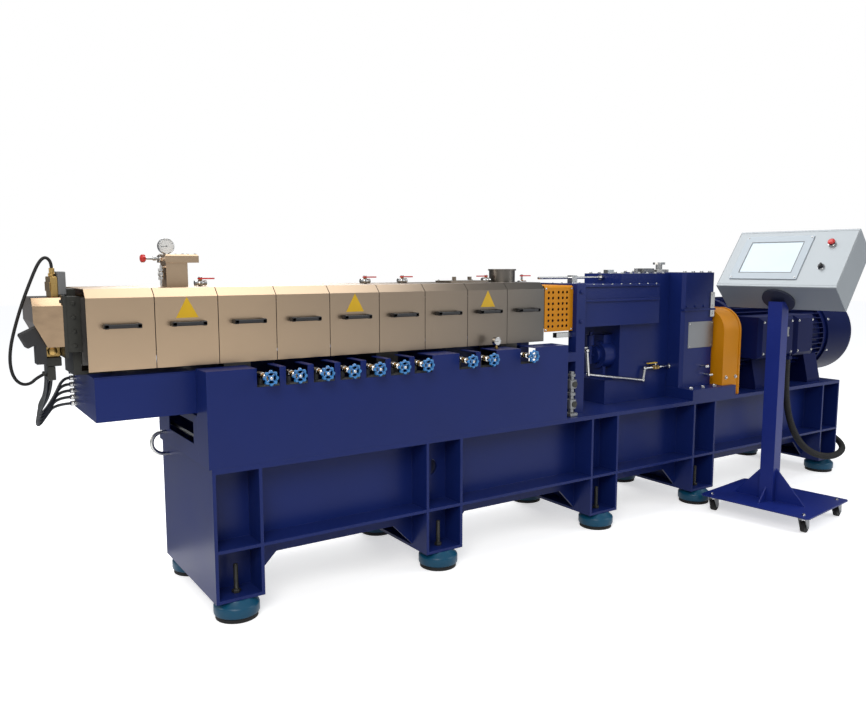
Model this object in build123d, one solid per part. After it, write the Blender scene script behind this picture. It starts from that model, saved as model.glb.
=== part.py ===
from build123d import *

import math
import os

# Twin-screw extruder on a welded base, with its control stand beside it. Millimetres.
# The machine frame has x along the screws from the die end of the covers, y across with 0 on the
# screw axis and the operator's side negative, and z up from the floor. The last step moves it so
# that the origin lies on the floor under the middle of the whole plant.

# Barrel covers
SECTION = 250.0              # length of one barrel section and of its cover
SECTIONS = 9
COVER_HALF = 234.0           # half the width over the covers
COVER_BOTTOM = 1054.0
COVER_TOP = 1364.0
COVER_SLOPE = 34.0           # height and width of the sloping top edge
COVER_SHOULDER = COVER_TOP - COVER_SLOPE
COVER_SHEET = 2.0
COVER_GAP = 3.0              # seam between two covers
COVER_HEM = 12.0             # the lower edge is folded inwards by this
HANDLE_LENGTH = 136.0
HANDLE_RISE = 170.0          # handle centre above the cover's lower edge
HANDLE_REACH = 38.0          # how far a handle stands out
HANDLE_BAR = 16.0
HANDLE_DEEP = 8.0            # thickness of the grip

# Barrel
AXIS_Z = 1200.0
BARREL_HALF = 92.0
FLANGE_HALF = 130.0
FLANGE_THICK = 28.0
SUPPORT_WIDTH = 120.0
SUPPORT_HALF = 90.0
SUPPORTED = (2, 5, 8)        # sections that stand on a support
SADDLE_HALF = 10.0           # ridge on a flange that the covers lie on

# Base frame
BASE_LEFT = 412.0
BASE_RIGHT = 4930.0
BASE_HALF = 359.0
BASE_TOP = 648.0
BASE_FOOT = 87.0             # underside of the frame above the floor
DECK_THICK = 22.0
WALL_THICK = 12.0
WALL_INSET = 130.0           # the side wall stands back behind the flanges by this
RIB_THICK = 14.0
FLANGE_LEVEL = 310.0         # top of the middle flange
LEG_PLATE = 14.0
LEG_CENTRES = (516.0, 1530.0, 2600.0, 3450.0, 4826.0)
LEG_WIDTH = 208.0
ARCH_TOP = 214.0             # lower edge of the side wall between two legs
ARCH_HAUNCH = 106.0
ARCH_HEEL = 20.0
HAND_HOLE = 40.0             # radius of the hole in the wall of the second leg
HAND_HOLE_LEG = 1
HAND_HOLE_Z = 474.0
PLINTH_LEFT = 3330.0
PLINTH_RIGHT = 3740.0
PLINTH_TOP = 712.0

# Levelling feet
FOOT_Y = BASE_HALF - 59.0
FOOT_RADIUS = 95.0
FOOT_NECK = 68.0
FOOT_SHOULDER = 24.0         # height of the sloping part of a foot
FOOT_RUBBER = 34.0
FOOT_RUBBER_RADIUS = 88.0
JACK_RADIUS = 12.0
JACK_CLEAR = 2.0
JACK_TOP = 225.0
NUT_RADIUS = 19.0
NUT_HEIGHT = 16.0

# Side covers over the cooling valves
SIDE_LEFT = BASE_LEFT - 11.0
SIDE_RIGHT = 2310.0
SIDE_TOP = 1040.0
SIDE_SHEET = 4.0
SIDE_RETURN = 130.0          # width of the covers' tops and ends
NOTCH_WIDTH = 98.0
NOTCH_DEPTH = 78.0
NOTCH_SHIFT = 12.0           # the notch's middle lies this far towards the gears from its valve
END_PANEL_TOP = 846.0
END_WINDOW_Y = (-171.0, 189.0)
END_WINDOW_Z = (721.0, 812.0)

# Cooling valves
VALVE_FIRST = 645.0
VALVE_PITCH = 125.5
VALVE_PLACES = (0, 1, 2, 3, 4, 5, 6, 8, 9, 11)
VALVE_Z = 1004.0
HEADER_Y = BASE_HALF - 59.0
HEADER_DROP = 60.0           # the header pipe lies this far under the valves
HEADER_RADIUS = 21.0
RISER_RADIUS = 11.0
BONNET_RADIUS = 14.0
STEM_RADIUS = 6.0
WHEEL_RADIUS = 33.0
WHEEL_THICK = 16.0
WHEEL_Y = BASE_HALF + 59.0   # middle of the handwheel
BONNET_REACH = 22.0          # how far a bonnet stands out of its notch
WHEEL_LOBES = 8
WHEEL_NOTCH = 7.0
WHEEL_DISH = 20.0            # radius of the hollow in the wheel's face
WHEEL_DISH_DEEP = 5.0
RUNNING_GAP = 0.4
CROSS_PIPES = ((436.0, 733.0), (500.0, 752.0))   # x and z of the two pipes behind the end window
CROSS_PIPE_RADIUS = 10.0
GAUGE_X = 1880.0
GAUGE_Z = SIDE_TOP + 39.0
GAUGE_RADIUS = 21.0
GAUGE_THICK = 24.0

# Cable duct under the die end
DUCT_LEFT = 20.0
DUCT_RIGHT = 540.0
DUCT_HALF = 225.0
DUCT_BOTTOM = 858.0
DUCT_TOP = 1031.0
DUCT_LID = 3.0
PEDESTAL_X = (510.0, 540.0)
PEDESTAL_HALF = 150.0
GLAND_Y = 188.0
GLAND_TOP = 1012.0
GLAND_PITCH = 27.0
GLANDS = 6
GLAND_LENGTH = 22.0
GLAND_RADIUS = 10.0

# Die head
DIE_LEFT = -165.0
DIE_RIGHT = -62.0
DIE_HALF = 145.0
DIE_TOP = 1331.0
DIE_BOTTOM = 1147.0
DIE_NOSE = 1241.0            # lower end of the upright front face
DIE_HEEL = -120.0            # front end of the underside
DIE_CHAMFER = 30.0
STRAND_HOLES = 10
STRAND_PITCH = 24.0
STRAND_RADIUS = 3.5
STRAND_DEEP = 6.0
CLAMP_THICK = 12.0           # side plate between the die and its flange
CLAMP_Z = (1103.0, 1339.0)
ADAPTOR_Z = (1124.0, 1335.0)
ADAPTOR_HALF = 140.0
LUG_X = (-32.0, 24.0)
LUG_HALF = 50.0
LUG_RISE = 26.0
STAY_X = (-28.0, 22.0)
STAY_HALF = 100.0
HEATER_LEFT = -88.0
HEATER_HALF = 60.0
HEATER_TOP = 1409.0
HEATER_PLATE_TOP = 1428.0
MELT_PIPE_Z = (1101.0, 1147.0)
BRACKET_X = (-118.0, -56.0)
BRACKET_DROP = 35.0
DRAIN_X = (-116.0, -84.0)
DRAIN_Z = 1012.0
PLUG_LENGTH = 62.0
PLUG_WIDE = 70.0
PLUG_TALL = 58.0
HANGER_DROP = 66.0
HANGER_RISE = 40.0
PLUG_CHAMFER = 5.0

# Vent stack and charging ports
PORT_SEAT = COVER_TOP - 34.0  # top of the seats that the stack and the feed cylinder stand on
VENT_X = 396.0
VENT_HALF = 44.0
VENT_SEAT = 64.0             # half the width of the seat on the barrel
VENT_TOP = COVER_TOP + 99.0
VENT_CAP = 34.0
VENT_CAP_X = (-52.0, 86.0)   # the cap's ends from the stack's middle
VENT_CAP_HALF = 64.0
DIAL_RADIUS = 33.0
DIAL_HALF = 12.0
DIAL_RISE = 34.0
DIAL_SHIFT = -30.0           # the dial stands this far from the stack's middle
KNOB_REACH = 62.0
KNOB_LENGTH = 22.0
KNOB_RADIUS = 17.0
FEED_X = 2150.0
FEED_RADIUS = 70.0
FEED_WALL = 6.0
FEED_FLOOR = 20.0
FEED_TOP = COVER_TOP + 69.0
FEED_RIM = 6.0
FEED_RIM_TALL = 8.0
BLANK_X = (1763.0, 2002.0)
BLANK_HALF = 70.0
BLANK_THICK = 10.0
BLANK_STUD = 30.0

# Ball valves on top of the covers: place along the machine and the way each lever points
LEVERS = ((505.0, 1), (1306.0, 1), (1516.0, 1), (2040.0, -1), (2290.0, 1))
LEVER_LENGTH = 62.0
LEVER_Z = COVER_TOP + 32.0
LEVER_THICK = 6.0
LEVER_HALF = 8.0
LEVER_HUB = 12.0
VALVE_BODY = 13.0

# Lantern, gears and drive
LANTERN_LEFT = 2253.0
LANTERN_HALF = 150.0
SCREEN_RIGHT = 2455.0
SCREEN_BOTTOM = 1102.0
SCREEN_TOP = 1346.0
SCREEN_SHEET = 3.0
SCREEN_BEND = 10.0
HOLE_RADIUS = 8.0
HOLE_ROWS = 7
HOLE_PITCH = 30.0
HOLE_COLUMNS = (28.0, 58.0, 98.0, 128.0, 158.0)
HOLE_FIRST = 36.0            # the top row lies this far under the screen's top
POST_LEFT = 2457.0
POST_RIGHT = 2522.0
POST_HALF = 262.0
POST_DEEP = 60.0
RAIL_Z = (935.0, 985.0)
RAIL_DEEP = 40.0
BEAM_HALF = 200.0
BEAM_BOTTOM = 1112.0
BEAM_TOP = 1346.0
BEAM_RIGHT = 3190.0
BEAM_LIP = 14.0
BEAM_LIP_TALL = 12.0
BEAM_LIPS = (1252.0, 1334.0)
HOUSING_LEFT = 2914.0
HOUSING_HALF = 150.0
HOUSING_BOTTOM = 790.0
HOUSING_TOP = 1405.0
REDUCER_LEFT = 3335.0
REDUCER_RIGHT = 3630.0
REDUCER_HALF = 260.0
REDUCER_TOP = 1410.0
REDUCER_CORNER = 18.0
REDUCER_SPLIT = 1180.0
REDUCER_LIP = 8.0
SUMP_LEFT = 2800.0
SUMP_HALF = 150.0

# Oil pump, oil lines and fittings on the gears
PUMP_Y = -50.0
PUMP_Z = 930.0
PUMP_LENGTH = 91.0
PUMP_LEFT = HOUSING_LEFT - PUMP_LENGTH
PUMP_RADIUS = 80.0
PUMP_NOSE = 52.0
PUMP_NOSE_LENGTH = 30.0
PUMP_BOX_HALF = 42.0
PUMP_BOX_RISE = 118.0
PUMP_FOOT = 20.0
FILTER_REACH = 48.0          # the filter's upright pipe stands this far before the pump
FILTER_PIPE = 14.0
FILTER_RADIUS = 24.0
FILTER_RISE = (60.0, 118.0)
FILTER_DROP = 50.0
FILTER_PORT = 22.0           # reach of the port that the oil line starts at
OIL_Y = -172.0
OIL_RADIUS = 9.0
OIL_BEND = 11.0
OIL_ROUTE = ((2630.0, 975.0), (2645.0, 838.0), (3098.0, 770.0), (3112.0, 841.0))
OIL_VALVE_X = 3205.0
OIL_VALVE_HALF = 28.0
OIL_VALVE_RADIUS = 15.0
OIL_LEVER_Z = 866.0
OIL_LEVER_LENGTH = 70.0
STACK_X = 2390.0
STACK_Y = -305.0
STACK_TOP = 890.0
STACK_PIPE = 13.0
STACK_FOOT = 26.0
STACK_FOOT_TALL = 20.0
STACK_RINGS = ((690.0, 26.0, 50.0), (760.0, 22.0, 18.0), (800.0, 27.0, 46.0), (862.0, 20.0, 16.0))
RAIL_RISE = 36.0             # the oil rail's height over the beam
OIL_RAIL_X = (2409.0, HOUSING_LEFT)
OIL_RAIL_RADIUS = 7.0
RAIL_CLAMP_X = (2650.0, 2690.0)
RAIL_CLAMP_HALF = 20.0
RAIL_NUT_X = (2894.0, 2912.0)
RAIL_NUT_RADIUS = 16.0
RAIL_END_X = (2940.0, 2990.0)
RAIL_END_HALF = 18.0
RAIL_END_TALL = 22.0
RISER_X = 3204.0
OIL_RISER = 10.0
OIL_RISER_TALL = 30.0
SIGHT_X = (3229.0, 3320.0)
SIGHT_HALF = 40.0
SIGHT_TALL = 30.0
BREATHER_X = 3409.0
BREATHER_STEPS = ((60.0, 18.0, 12), (20.0, 30.0, 8), (38.0, 14.0, 12))   # radius, height, sides
TIE_LEFT = 2343.0
TIE_Y = (-232.0, -202.0)
TIE_Z = (1066.0, 1092.0)
GEAR_PLATE_X = (3575.0, 3612.0)
GEAR_PLATE_Z = (1140.0, 1290.0)
GEAR_PLATE_THICK = 12.0
DRAINS = ((3520.0, 838.0), (3560.0, 782.0))
DRAIN_REACH = 40.0
DRAIN_RADIUS = 9.0
DRAIN_HALF = 16.0

# Coupling guard and motor
HOOD_LEFT_GAP = 10.0
HOOD_RIGHT = 3806.0
HOOD_BEAD = 4.0
HOOD_HALF = 330.0
HOOD_TOP = 1185.0
HOOD_CORNER = 140.0
HOOD_HEM = 16.0
MOTOR_LEFT = 3880.0
MOTOR_RIGHT = MOTOR_LEFT + 1000.0
MOTOR_Z = 965.0
MOTOR_CORE = 248.0
MOTOR_FIN = 275.0
MOTOR_FINS = 48
FIN_THICK = 5.0
FIN_ROOT = 3.0               # how deep a fin's root goes into the core
SHIELD_STEP = 4.0            # the end shields are this much lower than the fins
SHIELD_LENGTH = 40.0
FOOT_BLOCKS = (4030.0, 4620.0)
FOOT_BLOCK_LENGTH = 150.0
FOOT_BLOCK_HALF = 300.0
FOOT_BLOCK_INNER = 140.0
FOOT_PLATE = 28.0
FOOT_LEAN = 40.0
FOOT_BLOCK_TOP = MOTOR_Z - 120.0
TERMINALS_X = ((MOTOR_LEFT, MOTOR_LEFT + 368.0), (MOTOR_LEFT + 382.0, MOTOR_LEFT + 594.0))
TERMINALS_Y = (-420.0, -180.0)
TERMINALS_Z = (868.0, 1130.0)
TERMINAL_CHAMFER = 22.0
COWL_RADIUS = 285.0
COWL_RIGHT = MOTOR_RIGHT + 345.0
COWL_ROUND = 60.0
COWL_RINGS = (70.0, 120.0, 170.0)
COWL_SLOT = 14.0
COWL_SLOT_DEEP = 12.0
COWL_SPOKES = (0.0, 45.0, 90.0, 135.0)

# Cords: points of their routes, and half their thickness
CONDUIT_RADIUS = 22.0
CONDUIT_ROUTE = [
    (4215, -395, 846), (4215, -395, 710), (4212, -410, 555), (4240, -436, 400), (4350, -450, 260),
    (4540, -452, 170), (4770, -440, 130), (4970, -395, 145), (5070, -315, 175), (5085, -215, 222),
    (5022, -160, 250), (4930, -160, 250),
]
CONDUIT_NUT = 30.0
CONDUIT_NUT_TALL = 22.0
DIE_CABLE_RADIUS = 6.0
DIE_CABLE_ROUTE = [
    (-75, -20, 1442), (-75, -20, 1466), (-96, -22, 1486), (-121, -26, 1462), (-150, -32, 1398),
    (-184, -40, 1315), (-213, -44, 1228), (-234, -46, 1150), (-240, -44, 1084), (-230, -38, 1030), (-204, -30, 1000),
    (-172, -24, 1000), (-150, -20, 1020), (-126, -20, 1032),
]
HOSE_RADIUS = 9.0
HOSE_ROUTE = [
    (SIDE_LEFT, 250, 700), (372, 250, 700), (344, 249, 684), (333, 248, 652), (344, 249, 618),
    (376, 251, 596), (BASE_LEFT, 251, 596),
]
LEAD_RADIUS = 6.0
LEAD_LOW = 846.0             # lowest point of the upper heater lead, each next one a step lower
LEAD_STEP = 12.0
LEAD_OUT = 26.0              # how far the upper lead runs straight out of its gland
LEAD_OUT_STEP = 9.0
LEAD_ENDS = ((-106.0, 50.0), (-88.0, 50.0), (-106.0, 34.0), (-88.0, 34.0), (-106.0, 18.0))

# Control stand, turned about its post
STAND_X = 3558.0
STAND_Y = -738.0
STAND_TURN = 7.8
CART_U = 268.0
CART_V = 318.0
CART_SHIFT = 68.0            # the plate's middle lies behind the post by this
CART_TOP = 102.0
CART_PLATE = 8.0
CART_CORNER = 20.0
POST_SIDE = 80.0
STAND_POST_TOP = 1250.0
WEB_HALF = 210.0
WEB_RISE = 190.0
WEB_THICK = 8.0
PANEL_TILT = 48.6
PANEL_HALF = 341.0
PANEL_LENGTH = 424.0
PANEL_DEPTH = 200.0
PANEL_FRONT = -83.0          # lower front edge from the post's axis
PANEL_Z = 1335.0
PANEL_EDGE = 6.0
SCREEN_SPOT = (-84.0, 215.0)
SCREEN_SIZE = (393.0, 325.0)
SCREEN_BEZEL = 6.0           # how far the bezel stands out
SCREEN_PANE = (300.0, 226.0)
SCREEN_RECESS = 3.0
BUTTON_SPOT = (222.0, 315.0)
SELECTOR_SPOT = (217.0, 145.0)
BUTTON_RADIUS = 20.0
BUTTON_THICK = 14.0
BUTTON_STEM = 8.0
BUTTON_TRAVEL = 4.0
SELECTOR_RADIUS = 13.0
SELECTOR_STEM = 6.0
COLLAR_RADIUS = 17.0
COLLAR_HEIGHT = 8.0
STEM_LIFT = 1.0              # room under a pressed stem
DISC_RADIUS = 90.0
DISC_THICK = 12.0
CASTER_INSET = 52.0
CASTER_RADIUS = 31.0
CASTER_THICK = 24.0
CASTER_TRAIL = 22.0
CASTER_CHEEK = 4.0
CASTER_SIDE_GAP = 6.0
CASTER_CROWN = 14.0
CHEEK_DROP = 8.0             # how far a cheek reaches below the axle
CHEEK_HALF = 10.0
CASTER_AXLE = 5.0
AXLE_GAP = 0.2

CORDS = ("motor_conduit", "die_cable", "hose_loop")
STAND = Location((STAND_X, STAND_Y, 0), (0, 0, STAND_TURN))


def block(x, y, z):
    """A box between three pairs of limits."""
    size = [abs(b - a) for a, b in (x, y, z)]
    middle = [(a + b) / 2 for a, b in (x, y, z)]
    return Pos(*middle) * Box(*size)


def rod(start, end, radius, sides=0):
    """A bar from one point to another: round, or with flat sides."""
    line = Vector(*end) - Vector(*start)
    outline = RegularPolygon(radius, sides) if sides else Circle(radius)
    return extrude(Plane(origin=start, z_dir=line) * outline, line.length)


def plate_xz(points, y):
    """A plate cut to an outline in x and z, between two values of y."""
    low, high = sorted(y)
    plane = Plane(origin=(0, high, 0), x_dir=(1, 0, 0), z_dir=(0, -1, 0))
    return extrude(plane * Polygon(*points, align=None), high - low, dir=(0, -1, 0))


def plate_yz(points, x):
    """A plate cut to an outline in y and z, between two values of x."""
    low, high = sorted(x)
    plane = Plane(origin=(low, 0, 0), x_dir=(0, 1, 0), z_dir=(1, 0, 0))
    return extrude(plane * Polygon(*points, align=None), high - low, dir=(1, 0, 0))


def both_sides(shape):
    """A piece and its mirror image across the screw axis."""
    return [shape, mirror(shape, about=Plane.XZ)]


def section_x(index):
    """The middle of a barrel section."""
    return (index + 0.5) * SECTION


def cover_outline(inset):
    half = COVER_HALF - inset
    top = COVER_TOP - inset
    shoulder = COVER_SHOULDER - inset * math.tan(math.radians(22.5))
    slope = top - shoulder
    return [(-half, COVER_BOTTOM), (-half, shoulder), (-half + slope, top), (half - slope, top),
            (half, shoulder), (half, COVER_BOTTOM)]


def cover_section(index):
    """One barrel cover: a folded sheet open below, with sloping upper edges and inward hems."""
    ends = (index * SECTION + COVER_GAP / 2, (index + 1) * SECTION - COVER_GAP / 2)
    cover = plate_yz(cover_outline(0), ends) - plate_yz(cover_outline(COVER_SHEET), ends)
    hem = block(ends, (-COVER_HALF, -COVER_HALF + COVER_HEM), (COVER_BOTTOM, COVER_BOTTOM + COVER_SHEET))
    for piece in both_sides(hem):
        cover += piece
    return cover


def barrel_covers():
    covers = [cover_section(index) for index in range(SECTIONS)]
    roof = (COVER_SHOULDER, COVER_TOP + 1)
    half = VENT_HALF + RUNNING_GAP
    covers[int(VENT_X // SECTION)] -= block((VENT_X - half, VENT_X + half), (-half, half), roof)
    opening = rod((FEED_X, 0, roof[0]), (FEED_X, 0, roof[1]), FEED_RADIUS + RUNNING_GAP)
    covers[int(FEED_X // SECTION)] -= opening
    return covers


def cover_handle(index, side):
    """A bridge handle: a grip on two square feet."""
    middle = section_x(index)
    z = COVER_BOTTOM + HANDLE_RISE
    tall = (z - HANDLE_BAR / 2, z + HANDLE_BAR / 2)
    face = side * COVER_HALF
    out = side * (COVER_HALF + HANDLE_REACH)
    ends = (middle - HANDLE_LENGTH / 2, middle + HANDLE_LENGTH / 2)
    handle = block(ends, (out - side * HANDLE_DEEP, out), tall)
    handle += block((ends[0], ends[0] + HANDLE_BAR), (face, out), tall)
    handle += block((ends[1] - HANDLE_BAR, ends[1]), (face, out), tall)
    return handle


def cover_handles():
    return [cover_handle(index, side) for index in range(SECTIONS) for side in (-1, 1)]


def barrel():
    """Square sections bolted flange to flange, with saddles that carry the covers."""
    end = SECTIONS * SECTION
    tall = (AXIS_Z - BARREL_HALF, AXIS_Z + BARREL_HALF)
    body = block((0, end), (-BARREL_HALF, BARREL_HALF), tall)
    for index in range(SECTIONS + 1):
        x = min(max(index * SECTION, FLANGE_THICK / 2), end - FLANGE_THICK / 2)
        limits = (x - FLANGE_THICK / 2, x + FLANGE_THICK / 2)
        body += block(limits, (-FLANGE_HALF, FLANGE_HALF), (AXIS_Z - FLANGE_HALF, AXIS_Z + FLANGE_HALF))
        if 0 < index < SECTIONS:
            body += block(limits, (-SADDLE_HALF, SADDLE_HALF), (AXIS_Z, COVER_TOP - COVER_SHEET))
    for x, half in ((VENT_X, VENT_SEAT), (FEED_X, FEED_RADIUS)):
        body += block((x - half, x + half), (-half, half), (AXIS_Z, PORT_SEAT))
    for index in SUPPORTED:
        x = section_x(index)
        post = block((x - SUPPORT_WIDTH / 2, x + SUPPORT_WIDTH / 2), (-SUPPORT_HALF, SUPPORT_HALF),
                     (BASE_TOP, AXIS_Z))
        body += post
    return [body]


def leg_edges(centre):
    return (centre - LEG_WIDTH / 2, centre + LEG_WIDTH / 2)


def base_side():
    """The operator's side: wall with arches, middle flange and the ribs at the legs' edges."""
    wall_y = (-BASE_HALF + WALL_INSET, -BASE_HALF + WALL_INSET + WALL_THICK)
    reach = (-BASE_HALF, wall_y[0])
    under_deck = BASE_TOP - DECK_THICK
    side = block((BASE_LEFT, BASE_RIGHT), wall_y, (BASE_FOOT, under_deck))
    heel = BASE_FOOT + ARCH_HEEL
    for left, right in zip(LEG_CENTRES, LEG_CENTRES[1:]):
        a = leg_edges(left)[1]
        b = leg_edges(right)[0]
        arch = [(a, 0), (a, heel), (a + ARCH_HAUNCH, ARCH_TOP), (b - ARCH_HAUNCH, ARCH_TOP), (b, heel),
                (b, 0)]
        side -= plate_xz(arch, (wall_y[0] - 1, wall_y[1] + 1))
    side += block((BASE_LEFT, BASE_RIGHT), reach, (FLANGE_LEVEL - RIB_THICK, FLANGE_LEVEL))
    for centre in LEG_CENTRES:
        left, right = leg_edges(centre)
        for x in (left, right - RIB_THICK):
            side += block((x, x + RIB_THICK), reach, (BASE_FOOT, under_deck))
    hole_x = LEG_CENTRES[HAND_HOLE_LEG]
    side -= rod((hole_x, wall_y[0] - 1, HAND_HOLE_Z), (hole_x, wall_y[1] + 1, HAND_HOLE_Z), HAND_HOLE)
    return side


def base_frame():
    """Welded base: deck, two walls, end plates, bulkheads, leg plates and the gears' plinth."""
    under_deck = BASE_TOP - DECK_THICK
    width = (-BASE_HALF, BASE_HALF)
    frame = block((BASE_LEFT, BASE_RIGHT), width, (under_deck, BASE_TOP))
    for side in both_sides(base_side()):
        frame += side
    for x in (BASE_LEFT, BASE_RIGHT - RIB_THICK):
        frame += block((x, x + RIB_THICK), width, (BASE_FOOT, under_deck))
    inner = (-BASE_HALF + WALL_INSET, BASE_HALF - WALL_INSET)
    for centre in LEG_CENTRES:
        frame += block(leg_edges(centre), width, (BASE_FOOT, BASE_FOOT + LEG_PLATE))
    for centre in LEG_CENTRES[1:-1]:
        frame += block((centre - RIB_THICK / 2, centre + RIB_THICK / 2), inner, (BASE_FOOT, under_deck))
    frame += block((PLINTH_LEFT, PLINTH_RIGHT), width, (under_deck, PLINTH_TOP))
    for x, y in foot_places():
        frame -= rod((x, y, 0), (x, y, BASE_FOOT + LEG_PLATE + 1), JACK_RADIUS + JACK_CLEAR, sides=8)
    return [frame]


def foot_places():
    return [(x, side * FOOT_Y) for x in LEG_CENTRES for side in (-1, 1)]


def levelling_foot(x, y):
    """A turned pad with its jack bolt, and the nut on the leg's plate."""
    shoulder = BASE_FOOT - FOOT_SHOULDER
    pad = rod((0, 0, FOOT_RUBBER), (0, 0, shoulder), FOOT_RADIUS)
    pad += loft([Pos(0, 0, shoulder) * Circle(FOOT_RADIUS), Pos(0, 0, BASE_FOOT) * Circle(FOOT_NECK)])
    pad += rod((0, 0, BASE_FOOT - 1), (0, 0, JACK_TOP), JACK_RADIUS, sides=8)
    seat = BASE_FOOT + LEG_PLATE
    pad += rod((0, 0, seat), (0, 0, seat + NUT_HEIGHT), NUT_RADIUS, sides=6)
    return Pos(x, y, 0) * pad


def foot_pads():
    return [levelling_foot(x, y) for x, y in foot_places()]


def foot_rubbers():
    return [rod((x, y, 0), (x, y, FOOT_RUBBER), FOOT_RUBBER_RADIUS) for x, y in foot_places()]


def valve_xs():
    return [VALVE_FIRST + VALVE_PITCH * place for place in VALVE_PLACES]


def side_cover(side):
    """A long sheet with a folded top and folded ends."""
    outer = side * BASE_HALF
    inner = side * (BASE_HALF - SIDE_SHEET)
    back = side * (BASE_HALF - SIDE_RETURN)
    cover = block((SIDE_LEFT, SIDE_RIGHT), (outer, inner), (BASE_TOP, SIDE_TOP))
    cover += block((SIDE_LEFT, SIDE_RIGHT), (outer, back), (SIDE_TOP - SIDE_SHEET, SIDE_TOP))
    for x in (SIDE_LEFT, SIDE_RIGHT - SIDE_SHEET):
        cover += block((x, x + SIDE_SHEET), (outer, back), (BASE_TOP, SIDE_TOP))
    return cover


def side_covers():
    """The operator's side has a notch for each valve, the far side is plain, and a panel joins them."""
    front = side_cover(-1)
    half = NOTCH_WIDTH / 2
    for x in valve_xs():
        middle = x + NOTCH_SHIFT
        front -= block((middle - half, middle + half), (-BASE_HALF - 1, -BASE_HALF + SIDE_RETURN + 1),
                       (SIDE_TOP - NOTCH_DEPTH, SIDE_TOP + 1))
    between = BASE_HALF - SIDE_RETURN
    thick = (SIDE_LEFT, SIDE_LEFT + SIDE_SHEET)
    panel = block(thick, (-between, between), (BASE_TOP, END_PANEL_TOP))
    panel -= block((thick[0] - 1, thick[1] + 1), END_WINDOW_Y, END_WINDOW_Z)
    return [front, side_cover(1), panel]


def cooling_valves():
    """A header pipe behind the cover with one valve for each handwheel, cross pipes and a gauge."""
    ends = (SIDE_LEFT + SIDE_SHEET, SIDE_RIGHT - SIDE_SHEET)
    header_z = VALVE_Z - HEADER_DROP
    front = rod((ends[0], -HEADER_Y, header_z), (ends[1], -HEADER_Y, header_z), HEADER_RADIUS, sides=12)
    bonnet_end = -(BASE_HALF + BONNET_REACH)
    wheel_back = -(WHEEL_Y - WHEEL_THICK / 2 - RUNNING_GAP)
    for x in valve_xs():
        front += rod((x, -HEADER_Y, header_z), (x, -HEADER_Y, VALVE_Z + BONNET_RADIUS), RISER_RADIUS, sides=8)
        front += rod((x, -HEADER_Y, VALVE_Z), (x, bonnet_end, VALVE_Z), BONNET_RADIUS, sides=6)
        front += rod((x, bonnet_end, VALVE_Z), (x, wheel_back, VALVE_Z), STEM_RADIUS, sides=8)
    pieces = [front]
    inside = BASE_HALF - SIDE_SHEET
    for x, z in CROSS_PIPES:
        pieces.append(rod((x, -inside, z), (x, inside, z), CROSS_PIPE_RADIUS, sides=12))
    gauge_y = -HEADER_Y
    gauge = rod((GAUGE_X, gauge_y, SIDE_TOP), (GAUGE_X, gauge_y, GAUGE_Z), STEM_RADIUS, sides=8)
    faces = [(GAUGE_X, gauge_y + side * GAUGE_THICK / 2, GAUGE_Z) for side in (-1, 1)]
    gauge += rod(*faces, GAUGE_RADIUS)
    return pieces + [gauge]


def handwheel(x):
    """A lobed wheel with a dished face."""
    plane = Plane(origin=(x, -(WHEEL_Y - WHEEL_THICK / 2), VALVE_Z), x_dir=(1, 0, 0), z_dir=(0, -1, 0))
    outline = Circle(WHEEL_RADIUS)
    for index in range(WHEEL_LOBES):
        angle = 360 * index / WHEEL_LOBES
        outline -= Rot(0, 0, angle) * Pos(WHEEL_RADIUS + WHEEL_NOTCH / 3, 0) * RegularPolygon(WHEEL_NOTCH, 6)
    wheel = extrude(plane * outline, WHEEL_THICK)
    dish = plane.offset(WHEEL_THICK - WHEEL_DISH_DEEP) * Circle(WHEEL_DISH)
    hub = plane.offset(WHEEL_THICK - WHEEL_DISH_DEEP) * RegularPolygon(STEM_RADIUS + 2, 6)
    return wheel - extrude(dish, WHEEL_DISH_DEEP) + extrude(hub, WHEEL_DISH_DEEP)


def gland_places():
    return [(DUCT_LEFT - GLAND_LENGTH, GLAND_Y, GLAND_TOP - GLAND_PITCH * index) for index in range(GLANDS)]


def cable_duct():
    """A closed duct with a lid, on a pedestal hidden behind the end panel, with a column of glands."""
    duct = block((DUCT_LEFT, DUCT_RIGHT), (-DUCT_HALF, DUCT_HALF), (DUCT_BOTTOM, DUCT_TOP - DUCT_LID))
    lid_half = DUCT_HALF + DUCT_LID
    duct += block((DUCT_LEFT - DUCT_LID, DUCT_RIGHT), (-lid_half, lid_half), (DUCT_TOP - DUCT_LID, DUCT_TOP))
    duct += block(PEDESTAL_X, (-PEDESTAL_HALF, PEDESTAL_HALF), (BASE_TOP, DUCT_BOTTOM))
    for x, y, z in gland_places():
        duct += rod((DUCT_LEFT, y, z), (x, y, z), GLAND_RADIUS, sides=6)
    return [duct]


def die_block():
    """The die's block, with its slanted face to the front and below."""
    outline = [(DIE_LEFT, DIE_TOP), (DIE_LEFT, DIE_NOSE), (DIE_HEEL, DIE_BOTTOM), (DIE_RIGHT, DIE_BOTTOM),
               (DIE_RIGHT, DIE_TOP)]
    return plate_xz(outline, (-DIE_HALF, DIE_HALF))


def die_head():
    """Strand die with its row of holes."""
    die = die_block()
    top = die.faces().sort_by(Axis.Z)[-1]
    die = chamfer(top.edges().filter_by(Axis.X), DIE_CHAMFER)
    face = die_face_plane(-STRAND_DEEP)
    first = -(STRAND_HOLES - 1) / 2 * STRAND_PITCH
    for index in range(STRAND_HOLES):
        hole = face * Pos(first + index * STRAND_PITCH, 0) * RegularPolygon(STRAND_RADIUS, 8)
        die -= extrude(hole, 2 * STRAND_DEEP)
    return [die]


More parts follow.
